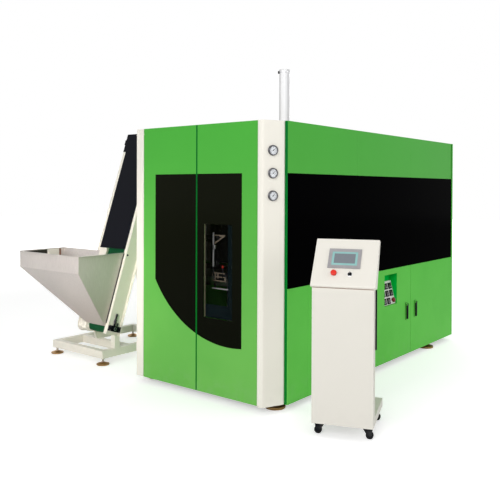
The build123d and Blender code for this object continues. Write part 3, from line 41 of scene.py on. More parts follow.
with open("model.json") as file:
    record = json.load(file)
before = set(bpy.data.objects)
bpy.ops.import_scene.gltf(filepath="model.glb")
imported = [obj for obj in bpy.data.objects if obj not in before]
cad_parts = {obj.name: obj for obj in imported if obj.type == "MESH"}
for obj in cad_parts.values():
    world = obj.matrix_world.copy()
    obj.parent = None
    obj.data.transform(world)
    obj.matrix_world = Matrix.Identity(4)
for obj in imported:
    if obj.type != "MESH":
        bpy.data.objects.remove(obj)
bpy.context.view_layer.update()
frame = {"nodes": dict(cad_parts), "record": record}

UP, DOWN = (0.0, 0.0, 1.0), (0.0, 0.0, -1.0)
RIGHT, LEFT = (1.0, 0.0, 0.0), (-1.0, 0.0, 0.0)
FRONT, BACK = (0.0, -1.0, 0.0), (0.0, 1.0, 0.0)
WHITE = (1.0, 1.0, 1.0)

# The cabinet's own corner: right edge of the front doors' opening, their outer face, the floor
HALF_SEAM = 0.0025
DOOR_LOW, DOOR_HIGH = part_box("front_door_right")
CORNER = Vector((DOOR_HIGH[0] + HALF_SEAM, DOOR_LOW[1], 0.0))


def at(x, y, z):
    """A place measured from the cabinet's corner, in metres."""
    return CORNER + Vector((x, y, z))


# Corners of the view opening in the right door leaf, and of the recess in the near side door
VIEW = (at(-0.520, 0.0, 0.627), at(-0.238, 0.0, 1.340))
# The side paint gets painted shade inside RECESS.
RECESS = (at(0.030, 1.610, 0.560), at(0.1552, 1.940, 0.880))


# Shader maths

def operation(kind, reflected=False):
    """A method that adds the Math node of one operator."""
    def method(self, other):
        values = (other, self) if reflected else (self, other)
        return self.graph.node("ShaderNodeMath", {"operation": kind}, values)[0]
    return method


class Socket:
    """A shader value that Python's own operators work on."""

    def __init__(self, graph, link):
        self.graph = graph
        self.link = link

    __add__, __radd__ = operation("ADD"), operation("ADD", reflected=True)
    __sub__, __rsub__ = operation("SUBTRACT"), operation("SUBTRACT", reflected=True)
    __mul__, __rmul__ = operation("MULTIPLY"), operation("MULTIPLY", reflected=True)
    __lt__, __gt__ = operation("LESS_THAN"), operation("GREATER_THAN")
    __or__ = operation("MAXIMUM")

    def smooth(self, low, high):
        """0 below low and 1 above high, with soft ends."""
        kind = {"interpolation_type": "SMOOTHSTEP"}
        values = {"Value": self, "From Min": low, "From Max": high}
        return self.graph.node("ShaderNodeMapRange", kind, values)[0]


class Graph:
    """A tree of shader nodes."""

    def __init__(self, tree):
        self.tree = tree

    def node(self, kind, settings, values, out=None):
        """Any node: its settings first, then the values or links of its sockets."""
        made = self.tree.nodes.new(kind)
        for key, value in settings.items():
            setattr(made, key, value)
        for key, value in values.items() if isinstance(values, dict) else enumerate(values):
            if isinstance(value, Socket):
                self.tree.links.new(value.link, made.inputs[key])
            else:
                made.inputs[key].default_value = value
        if out is not None:
            return Socket(self, made.outputs[out])
        return [Socket(self, output) for output in made.outputs]


class Look(Graph):
    """One procedural material on the object's own coordinates."""

    def __init__(self, name, **principled):
        self.material = bpy.data.materials.new(name)
        self.material.use_nodes = True
        super().__init__(self.material.node_tree)
        self.shader = self.tree.nodes["Principled BSDF"]
        for key, value in principled.items():
            socket = self.shader.inputs[key.replace("_", " ")]
            socket.default_value = (*value, 1.0) if isinstance(value, tuple) else value
        self.place = self.node("ShaderNodeTexCoord", {}, {}, "Object")

    def feed(self, name, value):
        """Links a value to the shader."""
        self.tree.links.new(value.link, self.shader.inputs[name])

    def axes(self):
        """X, Y and Z of the place on the object."""
        return self.node("ShaderNodeSeparateXYZ", {}, [self.place])

    def stretched(self, x, y, z):
        """The place with each axis scaled."""
        return self.node("ShaderNodeMapping", {}, {"Vector": self.place, "Scale": (x, y, z)})[0]

    def noise(self, scale, detail=3.0, roughness=0.5, place=None):
        """Cloudy noise from 0 to 1."""
        values = {"Vector": place or self.place, "Scale": scale, "Detail": detail, "Roughness": roughness}
        return self.node("ShaderNodeTexNoise", {}, values, "Fac")

    def mix(self, share, low, high):
        """Between two colours, each a tuple or a colour socket."""
        low, high = ((*part, 1.0) if isinstance(part, tuple) else part for part in (low, high))
        factor, first, second, colour = 0, 6, 7, 2
        values = {factor: share, first: low, second: high}
        return self.node("ShaderNodeMix", {"data_type": "RGBA"}, values)[colour]

    def finished(self, base, rough, height=None, distance=0.0, strength=1.0):
        """The material with its colour, its roughness and the relief of a height."""
        self.feed("Base Color", base)
        self.feed("Roughness", rough)
        if height:
            values = {"Strength": strength, "Distance": distance, "Height": height}
            self.feed("Normal", self.node("ShaderNodeBump", {}, values, "Normal"))
        return self.material


def toned(colour, factor):
    """A colour made darker or lighter."""
    return tuple(min(1.0, part * factor) for part in colour)


def tinted(colour, shares):
    """A colour with its red, green and blue scaled one by one."""
    return tuple(value * share for value, share in zip(colour, shares))


# Finishes

def enamel(name, colour, low_light_colour=None, low_z=0.0, high_z=2.1, rough=0.34, coat=0.0, gloss=0.18,
           recess_shade_colour=None):
    """Stoved paint on sheet: fine orange peel, faint clouding and dust towards the floor. Light and shade are
    painted in: the colour changes with height from a lit or shaded lower copy of the paint, by default a
    little lighter as painted floor light, and a given recess colour paints the shade in the recess.
    """
    look = Look(name, Roughness=rough, Coat_Weight=coat, Coat_Roughness=0.2, Specular_IOR_Level=gloss)
    x, y, z = look.axes()
    # Painted light: from low_z to high_z the colour blends up from the lower colour, lighter where it stands
    # for floor light and darker where it stands for shade.
    base = look.mix(z.smooth(low_z, high_z), low_light_colour or toned(colour, 1.06), colour)
    cloud = look.noise(2.2, 3.0).smooth(0.35, 0.7)
    base = look.mix(cloud * 0.18, base, toned(colour, 0.9))
    dust = (1.0 - z.smooth(0.0, 0.3)) * look.noise(14.0, 4.0).smooth(0.4, 0.8)
    base = look.mix(dust * 0.12, base, (0.42, 0.41, 0.38))
    # Painted shade: inside the recess the paint turns to the darker recess colour.
    if recess_shade_colour:
        inside = 1.0
        for axis, low, high in zip((x, y, z), *RECESS):
            inside = inside * (axis > low) * (axis < high)
        base = look.mix(inside, base, recess_shade_colour)
    rough = look.noise(26.0, 3.0) * 0.10 + (rough - 0.05) + dust * 0.15
    return look.finished(base, rough, look.noise(420.0, 2.0), 0.00012, 0.35)


def brushed(name, colour, stretch, rough=0.32, streak=0.2):
    """Bare metal with a fine grain along one axis."""
    look = Look(name, Metallic=1.0, Roughness=rough)
    grain = look.noise(1.0, 5.0, 0.65, look.stretched(*stretch))
    cloud = look.noise(5.0, 3.0).smooth(0.3, 0.75)
    dull, bright = toned(colour, 1.0 - streak), toned(colour, 1.0 + streak)
    base = look.mix(grain.smooth(0.25, 0.75), dull, bright)
    base = look.mix(cloud * 0.3, base, toned(colour, 0.82))
    return look.finished(base, grain * 0.18 + (rough - 0.09), grain, 0.00008, 0.4)


def acrylic(name, colour, gloss, clear=None):
    """Dark tinted acrylic, polished, with a painted sheen that makes it a little lighter towards the top;
    untinted inside clear.
    """
    look = Look(name, Roughness=0.16, Specular_IOR_Level=gloss, Coat_Weight=0.0)
    x, _, z = look.axes()
    # Painted sheen: the colour grows lighter towards the top.
    base = look.mix(z.smooth(0.4, 1.75), colour, toned(colour, 1.6))
    rough = look.noise(3.5, 4.0).smooth(0.45, 0.8) * 0.06 + 0.13
    if clear:
        low, high = clear
        inside = (x > low.x) * (x < high.x) * (z > low.z) * (z < high.z)
        look.feed("Alpha", 1.0 - inside * 0.85)
    return look.finished(base, rough, look.noise(6.0, 2.0), 0.0003, 0.08)


def moulded(name, colour, rough=0.45, gloss=0.28):
    """Moulded plastic with a fine spark-eroded grain."""
    look = Look(name, Roughness=rough, Specular_IOR_Level=gloss)
    shade = look.noise(30.0, 3.0).smooth(0.3, 0.8)
    base = look.mix(shade * 0.3, colour, toned(colour, 1.3))
    rough = look.noise(180.0, 2.0) * 0.16 + (rough - 0.08)
    return look.finished(base, rough, look.noise(900.0, 2.0), 0.00008, 0.4)


def rubber(name, colour, rough=0.7):
    """Matt rubber with a dusty bloom."""
    look = Look(name, Roughness=rough, Specular_IOR_Level=0.12)
    bloom = look.noise(22.0, 4.0).smooth(0.42, 0.8)
    base = look.mix(bloom * 0.35, colour, toned(colour, 2.0))
    return look.finished(base, bloom * 0.15 + (rough - 0.05), look.noise(600.0, 3.0), 0.0002, 0.5)


def stainless_sheet(name):
    """Rolled stainless sheet of the hopper: cross grain, soft waves, and painted shade and floor reflection
    that make it darker and browner towards the outlet.
    """
    look = Look(name, Metallic=0.4, Roughness=0.42, Specular_IOR_Level=0.4)
    grain = look.noise(1.0, 5.0, 0.65, look.stretched(160.0, 160.0, 14.0))
    waves = look.noise(2.6, 2.0).smooth(0.3, 0.7)
    base = look.mix(grain.smooth(0.25, 0.75), (0.54, 0.50, 0.475), (0.66, 0.62, 0.59))
    base = look.mix(waves * 0.4, base, (0.70, 0.66, 0.62))
    # Painted shade and reflection: darker and browner towards the bottom.
    low_shade = 1.0 - look.axes()[2].smooth(0.30, 0.86)
    base = look.mix(low_shade * 0.6, base, (0.40, 0.34, 0.30))
    return look.finished(base, waves * 0.12 + grain * 0.08 + 0.36, grain * 0.3 + waves, 0.0006, 0.35)


def rolled_pipe(name):
    """Plated pipe with a fine grain along it, and painted shade: a grey streak down its left edge and a grey
    band right of its middle, as the camera sees the pipe.
    """
    centre = PIPE.translation
    look = Look(name, Metallic=0.0, Roughness=0.35, Specular_IOR_Level=0.2)
    x, y, _ = look.axes()
    # Painted shade: across runs along the camera's right, PIPE_SIDE reversed, so the grey streaks follow the
    # view.
    across = (x - centre.x) * -PIPE_SIDE.x + (y - centre.y) * -PIPE_SIDE.y
    edge = 1.0 - across.smooth(-0.039, -0.024)
    band = across.smooth(0.011, 0.017) * (1.0 - across.smooth(0.031, 0.037))
    grain = look.noise(1.0, 4.0, 0.6, look.stretched(150.0, 150.0, 0.6))
    base = look.mix(grain.smooth(0.3, 0.7), (0.80, 0.80, 0.81), (0.90, 0.90, 0.91))
    painted_shade_streaks = (edge * 0.7 + band * 0.5) * (0.6 + grain * 0.5)
    return look.finished(look.mix(painted_shade_streaks, base, (0.34, 0.34, 0.35)), grain * 0.2 + 0.25)


def dial_face(name):
    """Silvery enamel of a dial."""
    look = Look(name, Base_Color=(0.86, 0.86, 0.84), Roughness=0.35)
    look.feed("Base Color", look.mix(look.noise(60.0, 2.0) * 0.2, (0.70, 0.73, 0.77), (0.62, 0.65, 0.68)))
    return look.material


def glass(name, tint, alpha):
    """Thin clear cover."""
    look = Look(name, Base_Color=tint, Roughness=0.05, Alpha=alpha, Specular_IOR_Level=0.6)
    look.feed("Roughness", look.noise(40.0, 2.0) * 0.05 + 0.03)
    return look.material


def glow(name, colour, strength, base=(0.02, 0.02, 0.02)):
    """A lit screen or lamp."""
    look = Look(name, Base_Color=base, Roughness=0.25, Emission_Strength=strength)
    shade = look.noise(35.0, 2.0).smooth(0.2, 0.9)
    look.feed("Emission Color", look.mix(shade * 0.3, colour, toned(colour, 0.8)))
    return look.material


def colour_choice(name, description, default):
    """A colour that the sidebar shows."""
    return bpy.props.FloatVectorProperty(
        name=name, description=description, subtype="COLOR", default=default, min=0.0, max=1.0)


def distance_choice(name, description, default, low, high, subtype="DISTANCE"):
    """A length that the sidebar shows."""
    return bpy.props.FloatProperty(
        name=name, description=description, subtype=subtype, default=default, min=low, max=high)


class MachineColours(bpy.types.PropertyGroup):
    """Colours of the machine's finishes."""

    green: colour_choice("Green", "Enamel of the doors and panels", (0.072, 0.405, 0.050))
    green_low: colour_choice("Low green", "Enamel where the floor lights it", (0.165, 0.500, 0.095))
    cream: colour_choice("Cream", "Enamel of the corner posts and the roof", (0.83, 0.80, 0.72))
    console: colour_choice("Console", "Enamel of the console", (0.82, 0.79, 0.72))
    elevator: colour_choice("Elevator", "Enamel of the elevator's rails and base", (0.89, 0.86, 0.76))


class MachineFittings(bpy.types.PropertyGroup):
    """Sizes of the machine's small fittings."""

    dial: distance_choice("Dial", "Diameter of a gauge's dial", 0.058, 0.03, 0.062)
    screw: distance_choice("Screw", "Diameter of a panel screw's head", 0.011, 0.006, 0.02)
    camera_lens: distance_choice(
        "Lens", "Focal length of the camera", 48.04, 20.0, 120.0, "DISTANCE_CAMERA")


FINISHES = {}


def make_finishes(colours):
    """All materials, by the name of their slot in the record, and some for small parts."""
    green, green_low = tuple(colours.green), tuple(colours.green_low)
    cream, console, elevator = tuple(colours.cream), tuple(colours.console), tuple(colours.elevator)
    # Painted light: the side panels take a greener copy of the door green that stands for how light falls on
    # the side; it is the same paint.
    side, side_low_light = tinted(green, (0.92, 1.12, 0.96)), tinted(green_low, (0.88, 1.20, 0.95))
    # Painted shade: a deeper, more saturated green for the shade inside the recess.
    recess_shade = tinted(green_low, (0.0, 1.0, 0.6))
    # Painted shade: below its head the console is painted 10% darker, and the elevator grows 10% darker
    # towards the floor.
    console_shaded_low, elevator_shaded_low = toned(console, 0.90), toned(elevator, 0.9)
    smoke = (0.0034, 0.0040, 0.0018)
    FINISHES.update({
        "green_paint": enamel("green_enamel", green, green_low, gloss=0.06),
        "side_lit_green": enamel("side_lit_green_enamel", side, side_low_light, gloss=0.03, recess_shade_colour=recess_shade),
        # Painted shade: dark green for the strips that stand for the gap between the leaves and the shaded
        # returns beside the post.
        "gap_shade_green": enamel("gap_shade_green", (0.0, 0.155, 0.022), (0.0, 0.21, 0.020),
                             rough=0.5, gloss=0.05),
        "cream_paint": enamel("cream_enamel", cream, rough=0.36, coat=0.06),
        "console_cream": enamel("console_enamel", console, console_shaded_low, 0.93, 0.99, rough=0.4, coat=0.06),
        "elevator_cream": enamel("elevator_enamel", elevator, elevator_shaded_low, rough=0.42, coat=0.06),
        "frame_steel": enamel("frame_enamel", (0.62, 0.62, 0.60), rough=0.45),
        "plate_white": enamel("plate_enamel", (0.80, 0.80, 0.77), rough=0.4),
        "pale_steel": enamel("pale_steel", (0.86, 0.86, 0.85), rough=0.3, gloss=0.5),
        "cast_grey": enamel("cast_grey", (0.46, 0.37, 0.28), rough=0.5),
        "guard_blue": enamel("guard_enamel", (0.0035, 0.0095, 0.0125), rough=0.4, gloss=0.03),
        "black_sheet": enamel("black_enamel", (0.004, 0.0045, 0.008), rough=0.36, gloss=0.05),
        "pipe_white": rolled_pipe("pipe_sheet"),
        "stainless_sheet": stainless_sheet("hopper_sheet"),
        "bright_steel": brushed("bright_steel", (0.60, 0.60, 0.61), (140.0, 9.0, 140.0)),
        "chrome_steel": brushed("ground_chrome", (0.78, 0.78, 0.79), (8.0, 300.0, 300.0), 0.14, 0.04),
        "mould_alloy": brushed("hard_anodised_alloy", (0.085, 0.085, 0.09), (30.0, 200.0, 30.0), 0.36, 0.12),
        "dark_steel": brushed("blackened_steel", (0.055, 0.055, 0.06), (80.0, 9.0, 80.0), 0.4, 0.15),
        "foot_bronze": brushed("foot_metal", (0.43, 0.26, 0.10), (40.0, 40.0, 40.0), 0.30, 0.22),
        "gauge_chrome": brushed("gauge_case", (0.13, 0.13, 0.14), (60.0, 60.0, 60.0), 0.3, 0.1),
        "bolt_black": brushed("blackened_bolt", (0.05, 0.05, 0.055), (90.0, 90.0, 90.0), 0.4, 0.2),
        "black_acrylic": acrylic("tinted_acrylic", smoke, 0.022),
        "view_acrylic": acrylic("view_acrylic", smoke, 0.022, VIEW),
        "side_acrylic": acrylic("side_acrylic", (0.0004, 0.0004, 0.0005), 0.002),
        "black_plastic": moulded("black_moulding", (0.005, 0.005, 0.006), gloss=0.10),
        "red_plastic": moulded("red_moulding", (0.72, 0.03, 0.018), 0.3),
        # Painted shade: a darker copy of the red for the stop button in the recess.
        "recess_shaded_red": moulded("recess_shaded_red_moulding", (0.16, 0.008, 0.008), 0.35),
        "grey_plastic": moulded("grey_moulding", (0.33, 0.32, 0.33), 0.42),
        "key_grey": moulded("key_grey", (0.42, 0.42, 0.43), 0.5),
        "hub_grey": moulded("hub_grey", (0.30, 0.30, 0.31), 0.5),
        "ink": moulded("dial_ink", (0.012, 0.012, 0.014), 0.5),
        "edge_strip": moulded("edge_strip", (0.22, 0.21, 0.13), 0.4),
        "belt_green": rubber("belt_rubber", (0.0, 0.062, 0.018), 0.55),
        "tyre_rubber": rubber("tyre_rubber", (0.012, 0.012, 0.013)),
        # Painted shade: dark grey for the shaded front of the hopper's inside left wall.
        "wall_shade_grey": rubber("painted_wall_shade", (0.030, 0.030, 0.022), 0.6),
        # seal_brown also paints the shadow line under the console's head.
        "seal_brown": rubber("seal_brown", (0.19, 0.085, 0.050), 0.6),
        "lamp_quartz": glass("lamp_quartz", (0.95, 0.93, 0.88), 0.55),
        "gauge_glass": glass("gauge_glass", (0.95, 0.96, 0.96), 0.12),
        "dial_white": dial_face("dial_enamel"),
        "screen_edge": glow("screen_edge", (0.30, 0.62, 0.58), 0.55, (0.10, 0.18, 0.18)),
        "screen": glow("screen_field", (0.20, 0.23, 0.26), 0.5, (0.08, 0.09, 0.10)),
        "display": glow("controller_display", (0.03, 0.008, 0.006), 0.6),
    })


# Nodes whose finish is a variant of their slot's
VARIANTS = {
    "pressure_gauges": "gauge_chrome",
    "side_window_panels": "side_acrylic",
    # The side green variant is a copy of the door green with painted light.
    "side_door_near": "side_lit_green",
    "side_door_far": "side_lit_green",
    "fixed_wall_panels": "side_lit_green",
    "front_window_right": "view_acrylic",
    "platen_left": "dark_steel",
    "platen_right": "dark_steel",
}


def finish_nodes():
    """Gives every node of the frame the finish of its slot."""
    slots = {part["node"]: part["material_slot"] for part in frame["record"]["subparts"]}
    for name, thing in frame["nodes"].items():
        paint(thing, VARIANTS.get(name, slots[name]))


# Modelling helpers

def alone(thing=None):
    """Selects one object and nothing else."""
    bpy.ops.object.select_all(action="DESELECT")
    if thing is not None:
        thing.select_set(True)
        bpy.context.view_layer.objects.active = thing


def cylinder(radius, depth, base=(0.0, 0.0, 0.0), sides=40):
    """A cylinder that stands on its base, along Z."""
    alone()
    centre = Vector(base) + Vector((0.0, 0.0, depth / 2))
    bpy.ops.mesh.primitive_cylinder_add(vertices=sides, radius=radius, depth=depth, location=centre)
    return bpy.context.object


def block(size, centre=(0.0, 0.0, 0.0)):
    """A block about its centre."""
    alone()
    bpy.ops.mesh.primitive_cube_add(size=1.0, location=centre, scale=size)
    bpy.ops.object.transform_apply(location=False, rotation=False, scale=True)
    return bpy.context.object


def shape_cap(thing, steps, side=UP):
    """Insets the face on one side and moves it outwards, step by step."""
    alone(thing)
    side = Vector(side)
    bpy.ops.object.mode_set(mode="EDIT")
    bpy.ops.mesh.select_mode(type="FACE")
    bpy.ops.mesh.select_all(action="DESELECT")
    bpy.ops.object.mode_set(mode="OBJECT")
    best = max(thing.data.polygons, key=lambda face: face.normal.dot(side) * 10 + face.center.dot(side))
    best.select = True
    bpy.ops.object.mode_set(mode="EDIT")
    for inset, lift in steps:
        if inset:
            bpy.ops.mesh.inset(thickness=inset)
        else:
            bpy.ops.mesh.extrude_region_move(TRANSFORM_OT_translate={"value": (0.0, 0.0, 0.0)})
        bpy.ops.transform.translate(value=side * lift)
    bpy.ops.object.mode_set(mode="OBJECT")
    return thing


def soften(thing, width, segments=2, angle=40.0):
    """Rounds the edges and smooths the shading."""
    alone(thing)
    edge = thing.modifiers.new("edge", "BEVEL")
    edge.width = width
    edge.segments = segments
    edge.limit_method = "ANGLE"
    edge.angle_limit = math.radians(angle)
    bpy.ops.object.modifier_apply(modifier=edge.name)
    bpy.ops.object.shade_smooth_by_angle(angle=math.radians(35.0))
    return thing


def paint(thing, look):
    """One finish all over."""
    thing.data.materials.clear()
    thing.data.materials.append(FINISHES[look])
    return thing


def shaped(thing, look, edge, steps=(), side=UP, segments=2, angle=40.0):
    """A primitive made a part: stepped on one side, its edges rounded, then painted."""
    if steps:
        shape_cap(thing, steps, side)
    return paint(soften(thing, edge, segments, angle), look)


def hollow(thing, radius):
    """Cuts a round bore through a part along Z."""
    alone()
    bpy.ops.mesh.primitive_cylinder_add(vertices=40, radius=radius, depth=0.2)
    tool = bpy.context.object
    alone(thing)
    cut = thing.modifiers.new("bore", "BOOLEAN")
    cut.object = tool
    cut.operation = "DIFFERENCE"
    bpy.ops.object.modifier_apply(modifier=cut.name)
    bpy.data.objects.remove(tool)
    return thing


def joined(things):
    """Several objects made one, each part with its own finish."""
    alone(things[0])
    for thing in things:
        thing.select_set(True)
    bpy.ops.object.join()
    return bpy.context.object


def fixed(thing):
    """Puts an object's place into its mesh."""
    alone(thing)
    bpy.ops.object.transform_apply(location=True, rotation=True, scale=True)
    return thing


def put(thing, matrix):
    """Moves a finished object to its place."""
    fixed(thing)
    thing.matrix_world = matrix
    return fixed(thing)


def repeated(thing, matrices):
    """A copy with its own mesh at each place in turn, joined to a single piece."""
    made = []
    for matrix in matrices:
        fixed(thing)
        bpy.ops.object.duplicate(linked=False)
        made.append(put(bpy.context.object, matrix))
    bpy.data.objects.remove(thing)
    return joined(made)


def settle(thing, name, body="machine"):
    """Names a piece and ties it to its body."""
    fixed(thing)
    thing.name = name
    thing.data.name = name
    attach(thing, body)
    return thing


def seat(thing, matrix, name, body="machine"):
    """Moves a piece to its place, names it and ties it to its body."""
    return settle(put(thing, matrix), name, body)


# Places

def turned(degrees, axis):
    """A turn about one axis."""
    return Matrix.Rotation(math.radians(degrees), 4, axis)


def spot(x, y, z):
    """The matrix of a place measured from the cabinet's corner."""
    return Matrix.Translation(at(x, y, z))


def on(base, x, y, z=0.0):
    """A place on a sloped face: across, up and outwards."""
    return base @ Matrix.Translation((x, y, z))


def circle(base, radius, count, first, z=0.0):
    """Places spread evenly round a circle on a face."""
    angles = [math.radians(360.0 / count * step + first) for step in range(count)]
    return [on(base, radius * math.cos(angle), radius * math.sin(angle), z) for angle in angles]


def facing(place, outward):
    """A matrix whose Z points outward and whose Y leans up."""
    out = Vector(outward).normalized()
    across = Vector(UP).cross(out).normalized()
    turn = Matrix((across, out.cross(across), out)).transposed().to_4x4()
    return Matrix.Translation(place) @ turn


# Slanted face of the right corner post, behind its nose
NOSE_WIDTH, NOSE_REACH = 0.055, 0.020
SLANT = math.atan2(0.127 - NOSE_WIDTH, 0.145 + NOSE_REACH)
SLANT_OUT = Vector((math.cos(SLANT), -math.sin(SLANT), 0.0))

# Console, its sloped head and the controls on it
CONSOLE = spot(0.547, -0.126, 0.0) @ turned(20.7, "Z")
HEAD_LEAN, HEAD_RISE = 0.230, 0.297
HEAD_SLOPE = math.atan2(HEAD_LEAN, HEAD_RISE)
HEAD = CONSOLE @ facing(Vector((0.0, -0.020, 0.975)), (0.0, -math.cos(HEAD_SLOPE), math.sin(HEAD_SLOPE)))
CONSOLE_WIDTH = 0.4
STOP_PLACE, SELECTOR_PLACE = (0.135, 0.106), (0.240, 0.104)

# Face of the elevator: across, along the incline and outwards
INCLINE = spot(0.0, 0.183, 0.277) @ turned(71.2, "X")

# Sloped plate of the zone controls
PLATE_TILT = math.atan2(0.052, 0.207)
PLATE = facing(at(0.144, 1.7715, 0.557), (math.cos(PLATE_TILT), 0.0, math.sin(PLATE_TILT)))

# Vent pipe: its place on the floor, the side where it is clipped, and the roof under it
PIPE = spot(-0.027, 0.360, 0.0)
PIPE_SIDE = Vector((-0.782, -0.623, 0.0))
ROOF = 2.100

# Axis of the belt's gear motor under the elevator
DRIVE_X, DRIVE_Z = -2.275, 0.3085


# Fasteners and buttons

def screw_head(radius):
    """A button head screw with a hexagon socket."""
    head = cylinder(radius, radius * 0.35, sides=20)
    shape_cap(head, [(radius * 0.18, radius * 0.14), (radius * 0.22, radius * 0.06)])
    socket = [(radius * 0.22, 0.0), (0.0, -radius * 0.3)]
    return shaped(head, "bright_steel", radius * 0.04, socket, segments=1)


def hexagon_bolt(across, height, look):
    """A hexagon head on its washer."""
    washer = shaped(cylinder(across * 0.72, height * 0.2), look, height * 0.05, segments=1)
    head = cylinder(across * 0.56, height * 0.8, (0.0, 0.0, height * 0.2), sides=6)
    return joined([washer, shaped(head, look, height * 0.05, [(across * 0.06, height * 0.1)], segments=1)])


def mushroom_head(radius, thick, stand, look):
    """The domed head of a stop button, with a waist and a stem."""
    head = cylinder(radius, thick, (0.0, 0.0, stand))
    dome, waist = [(0.10, 0.30), (0.20, 0.22), (0.30, 0.10)], [(0.16, -0.25), (0.30, -0.3)]
    shape_cap(head, [(radius * inset, thick * lift) for inset, lift in dome])
    waist = [(radius * inset, thick * lift) for inset, lift in waist]
    shaped(head, look, radius * 0.05, waist, DOWN, 3, 25.0)
    stem = shaped(cylinder(radius * 0.40, stand + 0.012, (0.0, 0.0, -0.012)), look, 0.0005, segments=1)
    return joined([head, stem])


def figure(words, size, place):
    """A flat figure as a mesh, centred on its place."""
    alone()
    bpy.ops.object.text_add(location=place)
    text = bpy.context.object.data
    text.body = words
    text.size = size
    text.align_x = "CENTER"
    text.align_y = "CENTER"
    text.extrude = 0.0001
    text.resolution_u = 3
    bpy.ops.object.convert(target="MESH")
    return bpy.context.object


class GaugeOperator(bpy.types.Operator):
    """Bezels, dials, needles and glasses of the pressure gauges"""

    bl_idname = "machine.gauges"
    bl_label = "Gauges"

    heights = (1.560, 1.721, 1.884)
    along_face = 0.084
    dial_floor, glass_floor = 0.0101, 0.0125

    def execute(self, context):
        radius = context.scene.machine_fittings.dial / 2
        x = NOSE_WIDTH + self.along_face * math.sin(SLANT)
        y = self.along_face * math.cos(SLANT) - NOSE_REACH
        for number, height in enumerate(self.heights, start=1):
            face = facing(at(x, y, height), SLANT_OUT)
            front = on(face, 0.0, 0.0, self.glass_floor)
            dial = self.dial(radius, 38.0 + 6.0 * number)
            seat(dial, on(face, 0.0, 0.0, self.dial_floor), f"gauge_dial_{number}")
            seat(self.bezel(radius), front, f"gauge_bezel_{number}")
            cover = shaped(cylinder(radius + 0.0003, 0.0012), "gauge_glass", 0.0003, segments=1)
            seat(cover, front, f"gauge_glass_{number}")
        return {"FINISHED"}

    def bezel(self, radius):
        """Turned ring round the glass."""
        ring = cylinder(radius + 0.0075, 0.0030, sides=64)
        shaped(ring, "gauge_chrome", 0.0004, [(0.0012, 0.0016), (0.0016, 0.0006), (0.0016, -0.0006)])
        return hollow(ring, radius + 0.0006)

    def dial(self, radius, reading):
        """Dial with 30 steps over 270 degrees, every fifth one long and numbered, and its needle."""
        parts = [shaped(cylinder(radius, 0.0008, sides=48), "dial_white", 0.0002, segments=1)]
        for step in range(31):
            long = step % 5 == 0
            turn = 135.0 - 9.0 * step
            width, length = (0.0014, radius * 0.20) if long else (0.0006, radius * 0.10)
            mark = block((width, length, 0.0003), (0.0, radius * 0.94 - length / 2, 0.0009))
            parts.append(put(paint(mark, "ink"), turned(turn, "Z")))
            if long:
                angle = math.radians(turn)
                place = (-math.sin(angle) * radius * 0.60, math.cos(angle) * radius * 0.60, 0.0010)
                parts.append(paint(figure(str(step), radius * 0.24, place), "ink"))
        needle = block((0.0038, radius * 1.10, 0.0006), (0.0, radius * 0.22, 0.0018))
        shape_cap(needle, [(0.0012, 0.0)], BACK)
        parts.append(put(paint(needle, "ink"), turned(-reading, "Z")))
        hub = cylinder(radius * 0.16, 0.0018, (0.0, 0.0, 0.0008), 24)
        return joined([*parts, shaped(hub, "ink", 0.0003)])


class ConsoleOperator(bpy.types.Operator):
    """Touch panel, stop button, selector and folds of the console's head"""

    bl_idname = "machine.console"
    bl_label = "Console"

    def execute(self, context):
        self.touch_panel()
        self.stop_button()
        self.selector()
        self.seams()
        return {"FINISHED"}

    def touch_panel(self):
        """Grey bezel with a sunk screen and its pale border."""
        left, low, width, height = 0.087, 0.147, 0.215, 0.148
        bezel = block((width, height, 0.008), (0.0, 0.0, 0.004))
        sunk = [(0.006, 0.0), (0.004, -0.0012), (0.012, 0.0), (0.0, -0.0015)]
        border = block((0.169, 0.102, 0.0012), (0.0, 0.0, 0.0052))
        inner = block((0.140, 0.074, 0.0012), (0.0, 0.0, 0.0057))
        panel = joined([
            shaped(bezel, "grey_plastic", 0.0012, sunk, segments=3),
            shaped(border, "screen_edge", 0.0002, [(0.0005, 0.0003)], segments=1),
            shaped(inner, "screen", 0.0002, [(0.0006, 0.0002)], segments=1),
        ])
        seat(panel, on(HEAD, left + width / 2, low + height / 2), "touch_panel")
        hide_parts("touch_screen")

    def stop_button(self):
        """Red head and the collar it slides in."""
        button = mushroom_head(0.020, 0.011, 0.008, "red_plastic")
        seat(button, on(HEAD, *STOP_PLACE), "console_stop_head", "console_stop")
        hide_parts("console_stop_button")
        ring = shaped(cylinder(0.0175, 0.003), "bright_steel", 0.0004, [(0.002, 0.0012), (0.0015, -0.0006)])
        seat(hollow(ring, 0.0083), on(HEAD, *STOP_PLACE, 0.0001), "console_stop_collar")

    def selector(self):
        """Collar and white line of the selector."""
        ring = shaped(cylinder(0.0165, 0.0038), "chrome_steel", 0.0004, [(0.0012, 0.0008)])
        seat(hollow(ring, 0.0133), on(HEAD, *SELECTOR_PLACE, 0.0001), "selector_collar")
        line = shaped(block((0.0016, 0.011, 0.0006), (0.0, 0.0055, 0.0182)), "dial_white", 0.0002, segments=1)
        seat(line, on(HEAD, *SELECTOR_PLACE), "selector_line", "selector")

    def seams(self):
        """Rounded fold along the head's lower front edge, and a brown strip under it that paints the head's
        thin shadow line.
        """
        fold = shaped(cylinder(0.0139, 0.414, sides=64), "console_cream", 0.0005, [(0.001, 0.001)])
        place = on(CONSOLE, -0.007, 0.00673, 0.98664) @ turned(90.0, "Y")
        seat(fold, place, "head_fold")
        # Painted shadow: the brown strip stands for the thin shadow line under the head.
        strip = shaped(block((0.396, 0.0024, 0.0030)), "seal_brown", 0.0006, [(0.0006, 0.0002)], FRONT)
        seat(strip, on(CONSOLE, CONSOLE_WIDTH / 2, -0.0014, 0.9715), "head_shadow_line")


